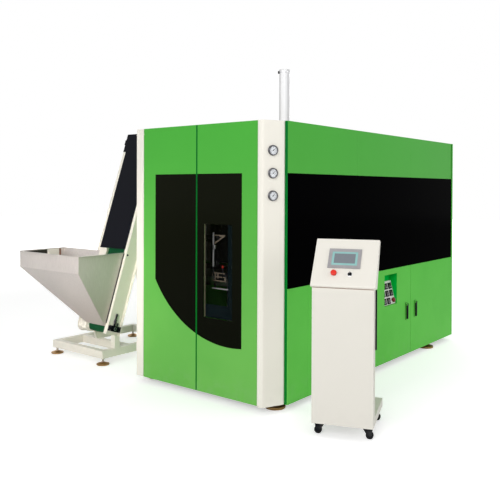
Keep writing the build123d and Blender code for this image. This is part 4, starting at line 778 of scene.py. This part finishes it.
class CastorOperator(bpy.types.Operator):
    """Castor wheels with tread, web and hub"""

    bl_idname = "machine.castors"
    bl_label = "Castors"

    radius, bore = 0.025, 0.0045

    def execute(self, context):
        inset, trail = 0.045, 0.014
        right = CONSOLE_WIDTH - inset
        places = [(inset, 0.068, -1), (right, 0.068, 1), (inset, 0.440, -1), (right, 0.440, 1)]
        for number, (x, y, side) in enumerate(places, start=1):
            wheel = self.wheel()
            place = on(CONSOLE, x + side * trail, y, self.radius) @ turned(90.0, "X")
            seat(wheel, place, f"castor_tyre_{number}", f"wheel_{number}")
            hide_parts(f"castor_wheel_{number}")
        return {"FINISHED"}

    def wheel(self):
        """Tyre with five ribs and a hub ring on each side."""
        tyre = cylinder(self.radius, 0.020, (0.0, 0.0, -0.010), 48)
        dish = [(0.0018, 0.0), (0.004, 0.0004), (0.002, -0.002), (0.003, -0.0005)]
        shape_cap(tyre, dish)
        parts = [hollow(shaped(tyre, "tyre_rubber", 0.0006, dish, DOWN, angle=30.0), self.bore)]
        for side in (1.0, -1.0):
            for step in range(5):
                rib = block((0.0022, 0.007, 0.0012), (0.0, 0.0105, side * 0.0088))
                put(rib, turned(72.0 * step, "Z"))
                parts.append(shaped(rib, "hub_grey", 0.0003, segments=1))
            ring = cylinder(0.0072, 0.0016, (0.0, 0.0, side * 0.0090 - 0.0008), 32)
            parts.append(hollow(shaped(ring, "hub_grey", 0.0003), self.bore))
        return joined(parts)


class ZoneOperator(bpy.types.Operator):
    """Faces of the temperature controllers and the stop button beside them"""

    bl_idname = "machine.zone_controls"
    bl_label = "Heating zone controls"

    def execute(self, context):
        low, across, up = 0.036, 0.076, 0.066
        grid = [(column - 1, row) for row in range(3) for column in range(3) if (row, column) != (0, 2)]
        places = [on(PLATE, column * across, low + row * up, 0.0071) for column, row in grid]
        settle(repeated(self.controller(), places), "controller_faces", "side_leaf_near")
        # Painted shade: the stop button in the recess is painted a darker red.
        button = mushroom_head(0.022, 0.011, 0.0085, "recess_shaded_red")
        seat(button, on(PLATE, across, low), "zone_stop_head", "zone_stop")
        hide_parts("zone_stop_button")
        screws = [on(PLATE, x, y, 0.0002) for x in (-0.114, 0.114) for y in (0.010, 0.105, 0.200)]
        settle(repeated(screw_head(0.0035), screws), "plate_screws", "side_leaf_near")
        return {"FINISHED"}

    def controller(self):
        """Black face with a display, a band and four keys."""
        face = block((0.052, 0.052, 0.0016), (0.0, 0.0, 0.0008))
        window = block((0.036, 0.015, 0.0010), (0.0, 0.008, 0.0022))
        band = block((0.036, 0.0022, 0.0006), (0.0, -0.0030, 0.0020))
        parts = [
            shaped(face, "black_plastic", 0.0005, [(0.003, 0.0006), (0.0018, -0.0006)]),
            shaped(window, "display", 0.0003, segments=1),
            shaped(band, "key_grey", 0.0002, segments=1),
        ]
        for step in range(4):
            key = block((0.007, 0.0055, 0.0014), (-0.0135 + 0.009 * step, -0.012, 0.0024))
            parts.append(shaped(key, "key_grey", 0.0005))
        return joined(parts)


class LatchOperator(bpy.types.Operator):
    """Bezels and ridged grips of the side doors' latches"""

    bl_idname = "machine.latches"
    bl_label = "Latches"

    door_face, low = 0.158, 0.381

    def execute(self, context):
        rows = (("near", 2.090, "side_leaf_near", "near_latch"), ("far", 2.282, "side_leaf_far", "far_latch"))
        for which, y, leaf, lever in rows:
            base = facing(at(self.door_face, y, self.low), RIGHT)
            rim = block((0.040, 0.160, 0.0026), (0.0, 0.078, 0.0013))
            shaped(rim, "black_plastic", 0.0008, [(0.0015, 0.0006)])
            seat(rim, base, f"{which}_latch_bezel", leaf)
            grip = block((0.018, 0.096, 0.0016), (0.0, 0.058, 0.0195))
            parts = [shaped(grip, "black_plastic", 0.0006, [(0.002, 0.0008)])]
            for step in range(7):
                ridge = block((0.014, 0.0016, 0.0012), (0.0, 0.018 + 0.006 * step, 0.0208))
                parts.append(shaped(ridge, "black_plastic", 0.0004))
            seat(joined(parts), base, f"{which}_latch_grip", lever)
        return {"FINISHED"}


class FeetOperator(bpy.types.Operator):
    """Nuts and threads on the levelling feet"""

    bl_idname = "machine.feet"
    bl_label = "Levelling feet"

    nut_top, pitch = 0.0596, 0.0028

    def execute(self, context):
        left, right = -1.225, 0.097
        large = [(left, 0.185), (0.025, 0.185), (left, 1.430), (right, 1.430), (left, 2.670), (right, 2.670)]
        small = [(x, y) for x in (-2.590, -1.900) for y in (0.150, 1.120)]
        rows = (("cabinet", large, 0.030, 0.0345), ("elevator", small, 0.020, 0.0262))
        for name, places, stud, low in rows:
            made = repeated(self.nut_and_thread(stud, low), [spot(x, y, 0.0) for x, y in places])
            settle(made, f"{name}_foot_nuts")
        return {"FINISHED"}

    def nut_and_thread(self, stud, low):
        """Hexagon nut under the frame, and the stud's turns of thread below it."""
        thick, bore = stud * 0.42, stud * 0.502
        top = self.nut_top - thick
        nut = cylinder(stud * 0.98, thick, (0.0, 0.0, top), 6)
        for side in (UP, DOWN):
            shape_cap(nut, [(stud * 0.12, 0.0008)], side)
        parts = [shaped(hollow(nut, bore), "bright_steel", 0.0004, segments=1)]
        for step in range(int((top - low) / self.pitch)):
            turn = cylinder(bore, self.pitch, (0.0, 0.0, low + self.pitch * step), 32)
            shape_cap(turn, [(0.0006, 0.0)])
            alone(turn)
            ridge = turn.modifiers.new("crest", "BEVEL")
            ridge.width = 0.0007
            bpy.ops.object.modifier_apply(modifier=ridge.name)
            parts.append(paint(turn, "bright_steel"))
        return joined(parts)


class VentOperator(bpy.types.Operator):
    """Band and clip at the vent pipe's mouth, and the screws of its flange"""

    bl_idname = "machine.vent"
    bl_label = "Vent pipe"

    def execute(self, context):
        holes = circle(on(PIPE, 0.0, 0.0, ROOF), 0.058, 6, 15.0, 0.0051)
        settle(repeated(screw_head(0.005), holes), "vent_screws")
        clip = block((0.014, 0.020, 0.008), (0.0, 0.0, 0.003))
        place = on(PIPE, 0.0, 0.0, 2.493).translation + PIPE_SIDE * 0.0405
        shaped(clip, "black_plastic", 0.0012, [(0.002, 0.003)])
        seat(clip, facing(place, PIPE_SIDE), "vent_clip")
        band = hollow(shaped(cylinder(0.0415, 0.007, sides=64), "bright_steel", 0.0008), 0.0401)
        seat(band, on(PIPE, 0.0, 0.0, 2.487), "vent_band")
        return {"FINISHED"}


class DoorOperator(bpy.types.Operator):
    """Dark green strips of painted shade between the panels, fillers in the side's joints, and the trims of
    the view opening
    """

    bl_idname = "machine.doors"
    bl_label = "Door trims"

    def execute(self, context):
        self.seals()
        edge = shaped(block((0.0040, 0.012, 0.709)), "edge_strip", 0.001, [(0.0008, 0.0004)], RIGHT)
        seat(edge, spot(-0.5177, 0.0105, 0.9835), "view_edge_strip", "front_leaf_right")
        right = block((0.056, 0.003, 0.709), (-0.2665, 0.0185, 0.9835))
        low = block((0.224, 0.003, 0.098), (-0.4065, 0.0185, 0.6780))
        guard = joined([shaped(part, "guard_blue", 0.0006, [(0.0006, 0.0008)], side, 1)
                        for part, side in ((right, LEFT), (low, UP))])
        seat(guard, spot(0.0, 0.0, 0.0), "view_guard", "front_leaf_right")
        return {"FINISHED"}

    def seals(self):
        """Strips along the leaves' meeting edges and beside the post, in a dark green that paints the shade
        of the gap and of the shaded returns, and strips in the joints of the side.
        """
        dark_strip, tall, middle = "gap_shade_green", 2.046, 1.075
        joint, proud = (0.0048, 0.0049), 0.1494
        rows = [
            # Painted shade: the leaves' strips stand for the dark joint and the shaded leaf edges; the post
            # and side strips stand for shaded return faces.
            ("leaf_gap_shade_left", (0.0062, 0.014, tall), (-0.6003, 0.0052, middle), dark_strip, "front_leaf_left"),
            ("leaf_gap_shade_right", (0.0040, 0.0014, tall), (-0.5928, -0.0002, middle), dark_strip, "front_leaf_right"),
            ("post_return_shade", (0.0016, 0.012, 2.040), (-0.0016, 0.0052, middle), dark_strip, "machine"),
            ("side_return_shade", (0.0236, 0.0014, tall), (0.1400, 0.1532, middle), dark_strip, "machine"),
        ]
        for end, y in enumerate((1.160, 2.186), start=1):
            rows += [
                (f"header_joint_{end}", (*joint, 0.3750), (proud, y, 1.9112), "green_paint", "machine"),
                (f"window_joint_{end}", (*joint, 0.8330), (proud, y, 1.3045), "side_acrylic", "machine"),
            ]
        rows.append(("low_joint", (*joint, 0.8300), (0.1550, 0.414, 0.4680), "side_lit_green", "machine"))
        for name, size, centre, look, body in rows:
            thin = min(size)
            strip = shaped(block(size), look, thin * 0.15, [(thin * 0.2, thin * 0.1)], FRONT)
            seat(strip, spot(*centre), name, body)


class InsideOperator(bpy.types.Operator):
    """Sensor stand on the bed's front apron, seen through the clear pane"""

    bl_idname = "machine.inside"
    bl_label = "Sensor stand"

    # Bars of the open bracket: centre in X and Z, width and height
    bars = (
        (-0.609, 0.911, 0.014, 0.060), (-0.545, 0.940, 0.116, 0.007), (-0.530, 0.910, 0.100, 0.006),
        (-0.538, 0.879, 0.130, 0.007), (-0.585, 0.911, 0.007, 0.056), (-0.556, 0.918, 0.007, 0.042),
        (-0.482, 0.892, 0.009, 0.026),
    )
    # Back plate, foot, arm and sensor: size, centre, finish, rounding, steps and their side
    blocks = (
        ((0.142, 0.004, 0.072), (-0.544, 0.2118, 0.909), "bolt_black", 0.001,
         [(0.004, 0.0), (0.002, 0.001)], FRONT),
        ((0.034, 0.024, 0.024), (-0.600, 0.199, 0.902), "bright_steel", 0.001, [(0.003, 0.002)], UP),
        ((0.112, 0.006, 0.014), (-0.536, 0.198, 1.238), "cast_grey", 0.0008, [(0.001, 0.001)], FRONT),
        ((0.040, 0.026, 0.030), (-0.552, 0.192, 1.222), "bolt_black", 0.0008, [(0.003, 0.002)], FRONT),
    )
    # Two lengths of the post, and the collar: radius, height, X, foot, finish, rounding, inset
    rounds = (
        (0.0060, 0.100, -0.600, 0.890, "bolt_black", 0.0005, 0.001),
        (0.0064, 0.272, -0.600, 0.990, "pale_steel", 0.0005, 0.001),
        (0.0130, 0.030, -0.590, 1.130, "bright_steel", 0.0008, 0.002),
    )

    def execute(self, context):
        parts = [shaped(block(size, centre), *finish) for size, centre, *finish in self.blocks]
        for x, z, wide, tall in self.bars:
            bar = block((wide, 0.008, tall), (x, 0.2058, z))
            parts.append(shaped(bar, "cast_grey", 0.0008, [(0.0015, 0.001)], FRONT))
        for radius, height, x, low, look, edge, inset in self.rounds:
            part = cylinder(radius, height, (x, 0.198, low), 24)
            parts.append(shaped(part, look, edge, [(inset, 0.001)]))
        brace = shape_cap(block((0.118, 0.006, 0.012)), [(0.001, 0.001)], FRONT)
        put(brace, Matrix.Translation((-0.540, 0.198, 1.204)) @ turned(-32.0, "Y"))
        parts.append(shaped(brace, "cast_grey", 0.0008))
        seat(joined(parts), spot(0.0, 0.0, 0.0), "sensor_stand")
        self.pipe()
        self.lamp()
        return {"FINISHED"}

    def pipe(self):
        """Ground pipe under the bed's front edge, in two clips."""
        tube = shape_cap(cylinder(0.0055, 0.420, sides=24), [(0.001, 0.001)])
        put(tube, spot(-0.612, 0.200, 0.8180) @ turned(90.0, "Y"))
        parts = [shaped(tube, "pale_steel", 0.0006)]
        for x in (-0.590, -0.240):
            clip = shape_cap(block((0.014, 0.006, 0.052)), [(0.003, 0.001)], FRONT)
            parts.append(shaped(put(clip, spot(x, 0.2107, 0.8340)), "bolt_black", 0.001))
        settle(joined(parts), "bed_pipe")

    def lamp(self):
        """Red lamp on a stem."""
        stem = shaped(cylinder(0.006, 0.080, sides=20), "bolt_black", 0.0006, [(0.001, 0.001)])
        head = cylinder(0.008, 0.016, (0.0, 0.0, 0.078), 24)
        shaped(head, "red_plastic", 0.001, [(0.002, 0.003), (0.002, 0.001)])
        seat(joined([stem, head]), spot(-0.508, 0.206, 0.905), "stand_lamp")


class ElevatorOperator(bpy.types.Operator):
    """Cover bolts, bearing fittings, drive ribs and the hopper's trims"""

    bl_idname = "machine.elevator"
    bl_label = "Elevator"

    def execute(self, context):
        right, left = turned(90.0, "Y"), turned(-90.0, "Y")
        bolts = [on(INCLINE, -1.8969, along, -0.014) @ right for along in (0.745, 1.293, 1.756)]
        bolts += [on(INCLINE, -2.3381, along, -0.014) @ left for along in (0.824, 1.293, 1.756)]
        heads = repeated(hexagon_bolt(0.013, 0.008, "bolt_black"), bolts)
        settle(heads, "cover_bolts")
        self.bearing(on(INCLINE, -1.8749, 0.058, -0.0725) @ right)
        self.drive()
        self.hopper_trims()
        return {"FINISHED"}

    def bearing(self, place):
        """Shaft end, corner bolts and take-up nuts of the lower right bearing."""
        steps = [(0.002, 0.0012), (0.004, 0.0), (0.003, -0.0015)]
        shaft = shaped(cylinder(0.0125, 0.0045, sides=32), "gauge_chrome", 0.0006, steps)
        seat(shaft, place, "foot_shaft_end")
        corners = [on(place, x, y) for x in (-0.054, 0.054) for y in (-0.015, 0.015)]
        heads = repeated(hexagon_bolt(0.013, 0.004, "bolt_black"), corners)
        settle(heads, "bearing_bolts")
        nuts = []
        for along, out, bore, size in (
                (0.116, -0.0625, 0.0082, 0.0135), (0.130, -0.0625, 0.0082, 0.0135),
                (0.176, -0.0625, 0.0082, 0.0120), (0.104, -0.0965, 0.0062, 0.0105)):
            nut = shaped(cylinder(size, 0.009, sides=6), "bolt_black", 0.0004, [(0.0012, 0.0008)], segments=1)
            nuts.append(put(hollow(nut, bore), on(INCLINE, -1.886, along, out) @ turned(-90.0, "X")))
        settle(joined(nuts), "take_up_nuts")

    def drive(self):
        """Cooling ribs, terminal box and end plate screws of the belt's gear motor."""
        rib = cylinder(0.0490, 0.003, sides=48)
        shaped(rib, "elevator_cream", 0.0005, [(0.0012, 0.0006)], segments=1)
        places = [spot(DRIVE_X, 0.372 + 0.011 * step, DRIVE_Z) @ turned(-90.0, "X") for step in range(13)]
        settle(repeated(hollow(rib, 0.0452), places), "motor_ribs")
        box = shaped(block((0.062, 0.070, 0.034)), "elevator_cream", 0.002,
                     [(0.004, 0.0), (0.0, 0.005), (0.002, 0.002)])
        seat(box, spot(DRIVE_X, 0.440, 0.3705), "motor_terminal_box")
        screws = circle(facing(at(-2.3339, 0.2703, DRIVE_Z), LEFT), 0.054, 6, 30.0)
        heads = repeated(hexagon_bolt(0.009, 0.004, "bright_steel"), screws)
        settle(heads, "drive_cap_screws")

    def hopper_trims(self):
        """Dark seal beside the rail; on the left wall's inside, a dark grey sheet that paints shade on its
        front part and a cream sheet that paints reflected light on its rear part; and the brown corner strip.
        """
        wall, middle, height = -2.8467, 0.938, 0.110
        dark_strip = shaped(block((0.0100, 0.660, 0.0034)), "tyre_rubber", 0.0006, [(0.0008, 0.0006)], segments=1)
        seat(dark_strip, on(INCLINE, -1.9316, 0.425, 0.0019), "hopper_seal")
        # Painted shade on the front of the inside left wall, and a painted reflection of light on its rear
        # part.
        for name, look, slot, y, long in (("hopper_wall_shade", "wall_shade_grey", "tyre_rubber", 0.060, 0.296),
                                          ("hopper_wall_reflection", "cream_paint", "cream_paint", 0.282, 0.136)):
            pad = shaped(block((0.0020, long, height)), look, 0.0005, [(0.004, 0.0006)], RIGHT, 1)
            seat(pad, spot(wall, y, middle), name)
        strip = shaped(block((0.0120, 0.0120, height)), "seal_brown", 0.002, [(0.003, 0.001)], RIGHT)
        seat(strip, spot(-2.8414, 0.3590, middle), "hopper_corner_strip")


class PanelOperator(bpy.types.Operator):
    """Screws along the edges of the fixed panels"""

    bl_idname = "machine.panels"
    bl_label = "Panel screws"

    heights = (0.09, 0.57, 1.06, 1.55, 2.06)
    bays = ((0.0925, 1.1575), (1.1625, 2.1835), (2.1885, 3.1825))
    edge, left_face, back_face = 0.025, -1.2801, 3.2072

    def execute(self, context):
        radius = context.scene.machine_fittings.screw / 2
        columns = [y for near, far in self.bays for y in (near + self.edge, far - self.edge)]
        left = [facing(at(self.left_face, y, z), LEFT) for y in columns for z in self.heights]
        rows = (-1.250, -0.780, -0.320, 0.128)
        back = [facing(at(x, self.back_face, z), BACK) for x in rows for z in self.heights]
        settle(repeated(screw_head(radius), left), "left_panel_screws")
        settle(repeated(screw_head(radius), back), "back_panel_screws")
        return {"FINISHED"}


class StageOperator(bpy.types.Operator):
    """Puts the machine on a pale floor under soft lamps, with the camera"""

    bl_idname = "machine.stage"
    bl_label = "Stage"

    middle, rail = at(-0.5, 1.0, 1.0), at(-2.05, 0.35, 0.85)
    # Name, place, what it points at, side of its square, watts, spread in degrees, colour
    lamps = (
        ("key", at(2.6, -7.0, 4.2), middle, 4.0, 290.0, 180.0, WHITE),
        ("side", at(7.4, 1.6, 3.6), middle, 4.0, 130.0, 180.0, WHITE),
        ("left", at(-3.2, -8.0, 3.0), middle, 3.0, 70.0, 180.0, WHITE),
        ("elevator", at(1.0, -4.6, 1.8), rail, 1.0, 2.9, 22.0, (1.0, 0.88, 0.82)),
        ("back", at(-1.0, 8.0, 4.5), middle, 4.0, 140.0, 180.0, WHITE),
    )
    world_strength = 0.5
    camera_place = at(2.9331, -3.7662, 1.6062)
    turn, tilt, roll = 38.54, 0.51, 0.22
    shift = (-0.001, -0.1098)

    def execute(self, context):
        alone()
        bpy.ops.mesh.primitive_plane_add(size=60.0, location=(0.0, 0.0, 0.0))
        floor = context.object
        floor.name = "floor"
        floor.data.materials.append(self.floor_look())
        for lamp in self.lamps:
            self.light(context, *lamp)
        self.world(context)
        self.camera(context)
        context.scene.view_settings.view_transform = "Standard"
        return {"FINISHED"}

    def floor_look(self):
        """White paper, which the camera sees fade into the background."""
        look = Look("floor_paper", Base_Color=(0.88, 0.88, 0.88), Roughness=0.9, Specular_IOR_Level=0.0,
                    Emission_Color=WHITE)
        camera_ray = look.node("ShaderNodeLightPath", {}, {}, "Is Camera Ray")
        x, y = look.axes()[:2]
        far = (x * x + y * y).smooth(20.0, 90.0)
        look.feed("Emission Strength", camera_ray * (far * 0.6 + 0.42))
        return look.material

    def light(self, context, name, place, target, size, power, spread, colour):
        """One square lamp."""
        bpy.ops.object.light_add(type="AREA", location=place)
        lamp = context.object
        lamp.name = name
        lamp.data.shape = "SQUARE"
        lamp.data.size = size
        lamp.data.energy = power
        lamp.data.spread = math.radians(spread)
        lamp.data.color = colour
        lamp.rotation_euler = (target - place).to_track_quat("-Z", "Y").to_euler()

    def world(self, context):
        """White to the camera, in metal and through glass, and half as bright on the machine."""
        world = bpy.data.worlds.new("studio")
        context.scene.world = world
        world.use_nodes = True
        graph = Graph(world.node_tree)
        camera, glossy, through = (graph.node("ShaderNodeLightPath", {}, {}, f"Is {kind} Ray")
                                   for kind in ("Camera", "Glossy", "Transmission"))
        strength = (camera | glossy | through) * (1.0 - self.world_strength) + self.world_strength
        background = graph.tree.nodes["Background"]
        graph.tree.links.new(strength.link, background.inputs["Strength"])
        background.inputs["Color"].default_value = (*WHITE, 1.0)

    def camera(self, context):
        """Camera at the front right, at the machine's middle height."""
        bpy.ops.object.camera_add(location=self.camera_place)
        camera = context.object
        camera.name = "camera"
        aim = turned(self.turn, "Z") @ turned(90.0 - self.tilt, "X") @ turned(self.roll, "Z")
        camera.rotation_euler = aim.to_euler()
        camera.data.lens = context.scene.machine_fittings.camera_lens
        camera.data.sensor_width = 36.0
        camera.data.shift_x, camera.data.shift_y = self.shift
        camera.data.clip_end = 200.0
        context.scene.camera = camera


class FinishOperator(bpy.types.Operator):
    """Gives every piece of the frame its finish"""

    bl_idname = "machine.finishes"
    bl_label = "Finishes"

    def execute(self, context):
        make_finishes(context.scene.machine_colours)
        finish_nodes()
        return {"FINISHED"}


OPERATORS = (
    FinishOperator, GaugeOperator, ConsoleOperator, CastorOperator, ZoneOperator, LatchOperator,
    FeetOperator, VentOperator, DoorOperator, InsideOperator, ElevatorOperator, PanelOperator,
    StageOperator,
)


class MachinePanel(bpy.types.Panel):
    """Sidebar panel of the machine"""

    bl_idname = "VIEW3D_PT_machine"
    bl_label = "Blow moulding machine"
    bl_space_type = "VIEW_3D"
    bl_region_type = "UI"
    bl_category = "Machine"

    def draw(self, context):
        column = self.layout.column()
        for group in (context.scene.machine_colours, context.scene.machine_fittings):
            for key in group.__annotations__:
                column.prop(group, key)
        for operator in OPERATORS:
            column.operator(operator.bl_idname)


CLASSES = (MachineColours, MachineFittings, *OPERATORS, MachinePanel)


def register():
    for made in CLASSES:
        bpy.utils.register_class(made)
    bpy.types.Scene.machine_colours = bpy.props.PointerProperty(type=MachineColours)
    bpy.types.Scene.machine_fittings = bpy.props.PointerProperty(type=MachineFittings)


def unregister():
    del bpy.types.Scene.machine_fittings
    del bpy.types.Scene.machine_colours
    for made in reversed(CLASSES):
        bpy.utils.unregister_class(made)


def main():
    register()
    for operator in OPERATORS:
        group, name = operator.bl_idname.split(".")
        getattr(getattr(bpy.ops, group), name)()


if __name__ == "__main__":
    main()
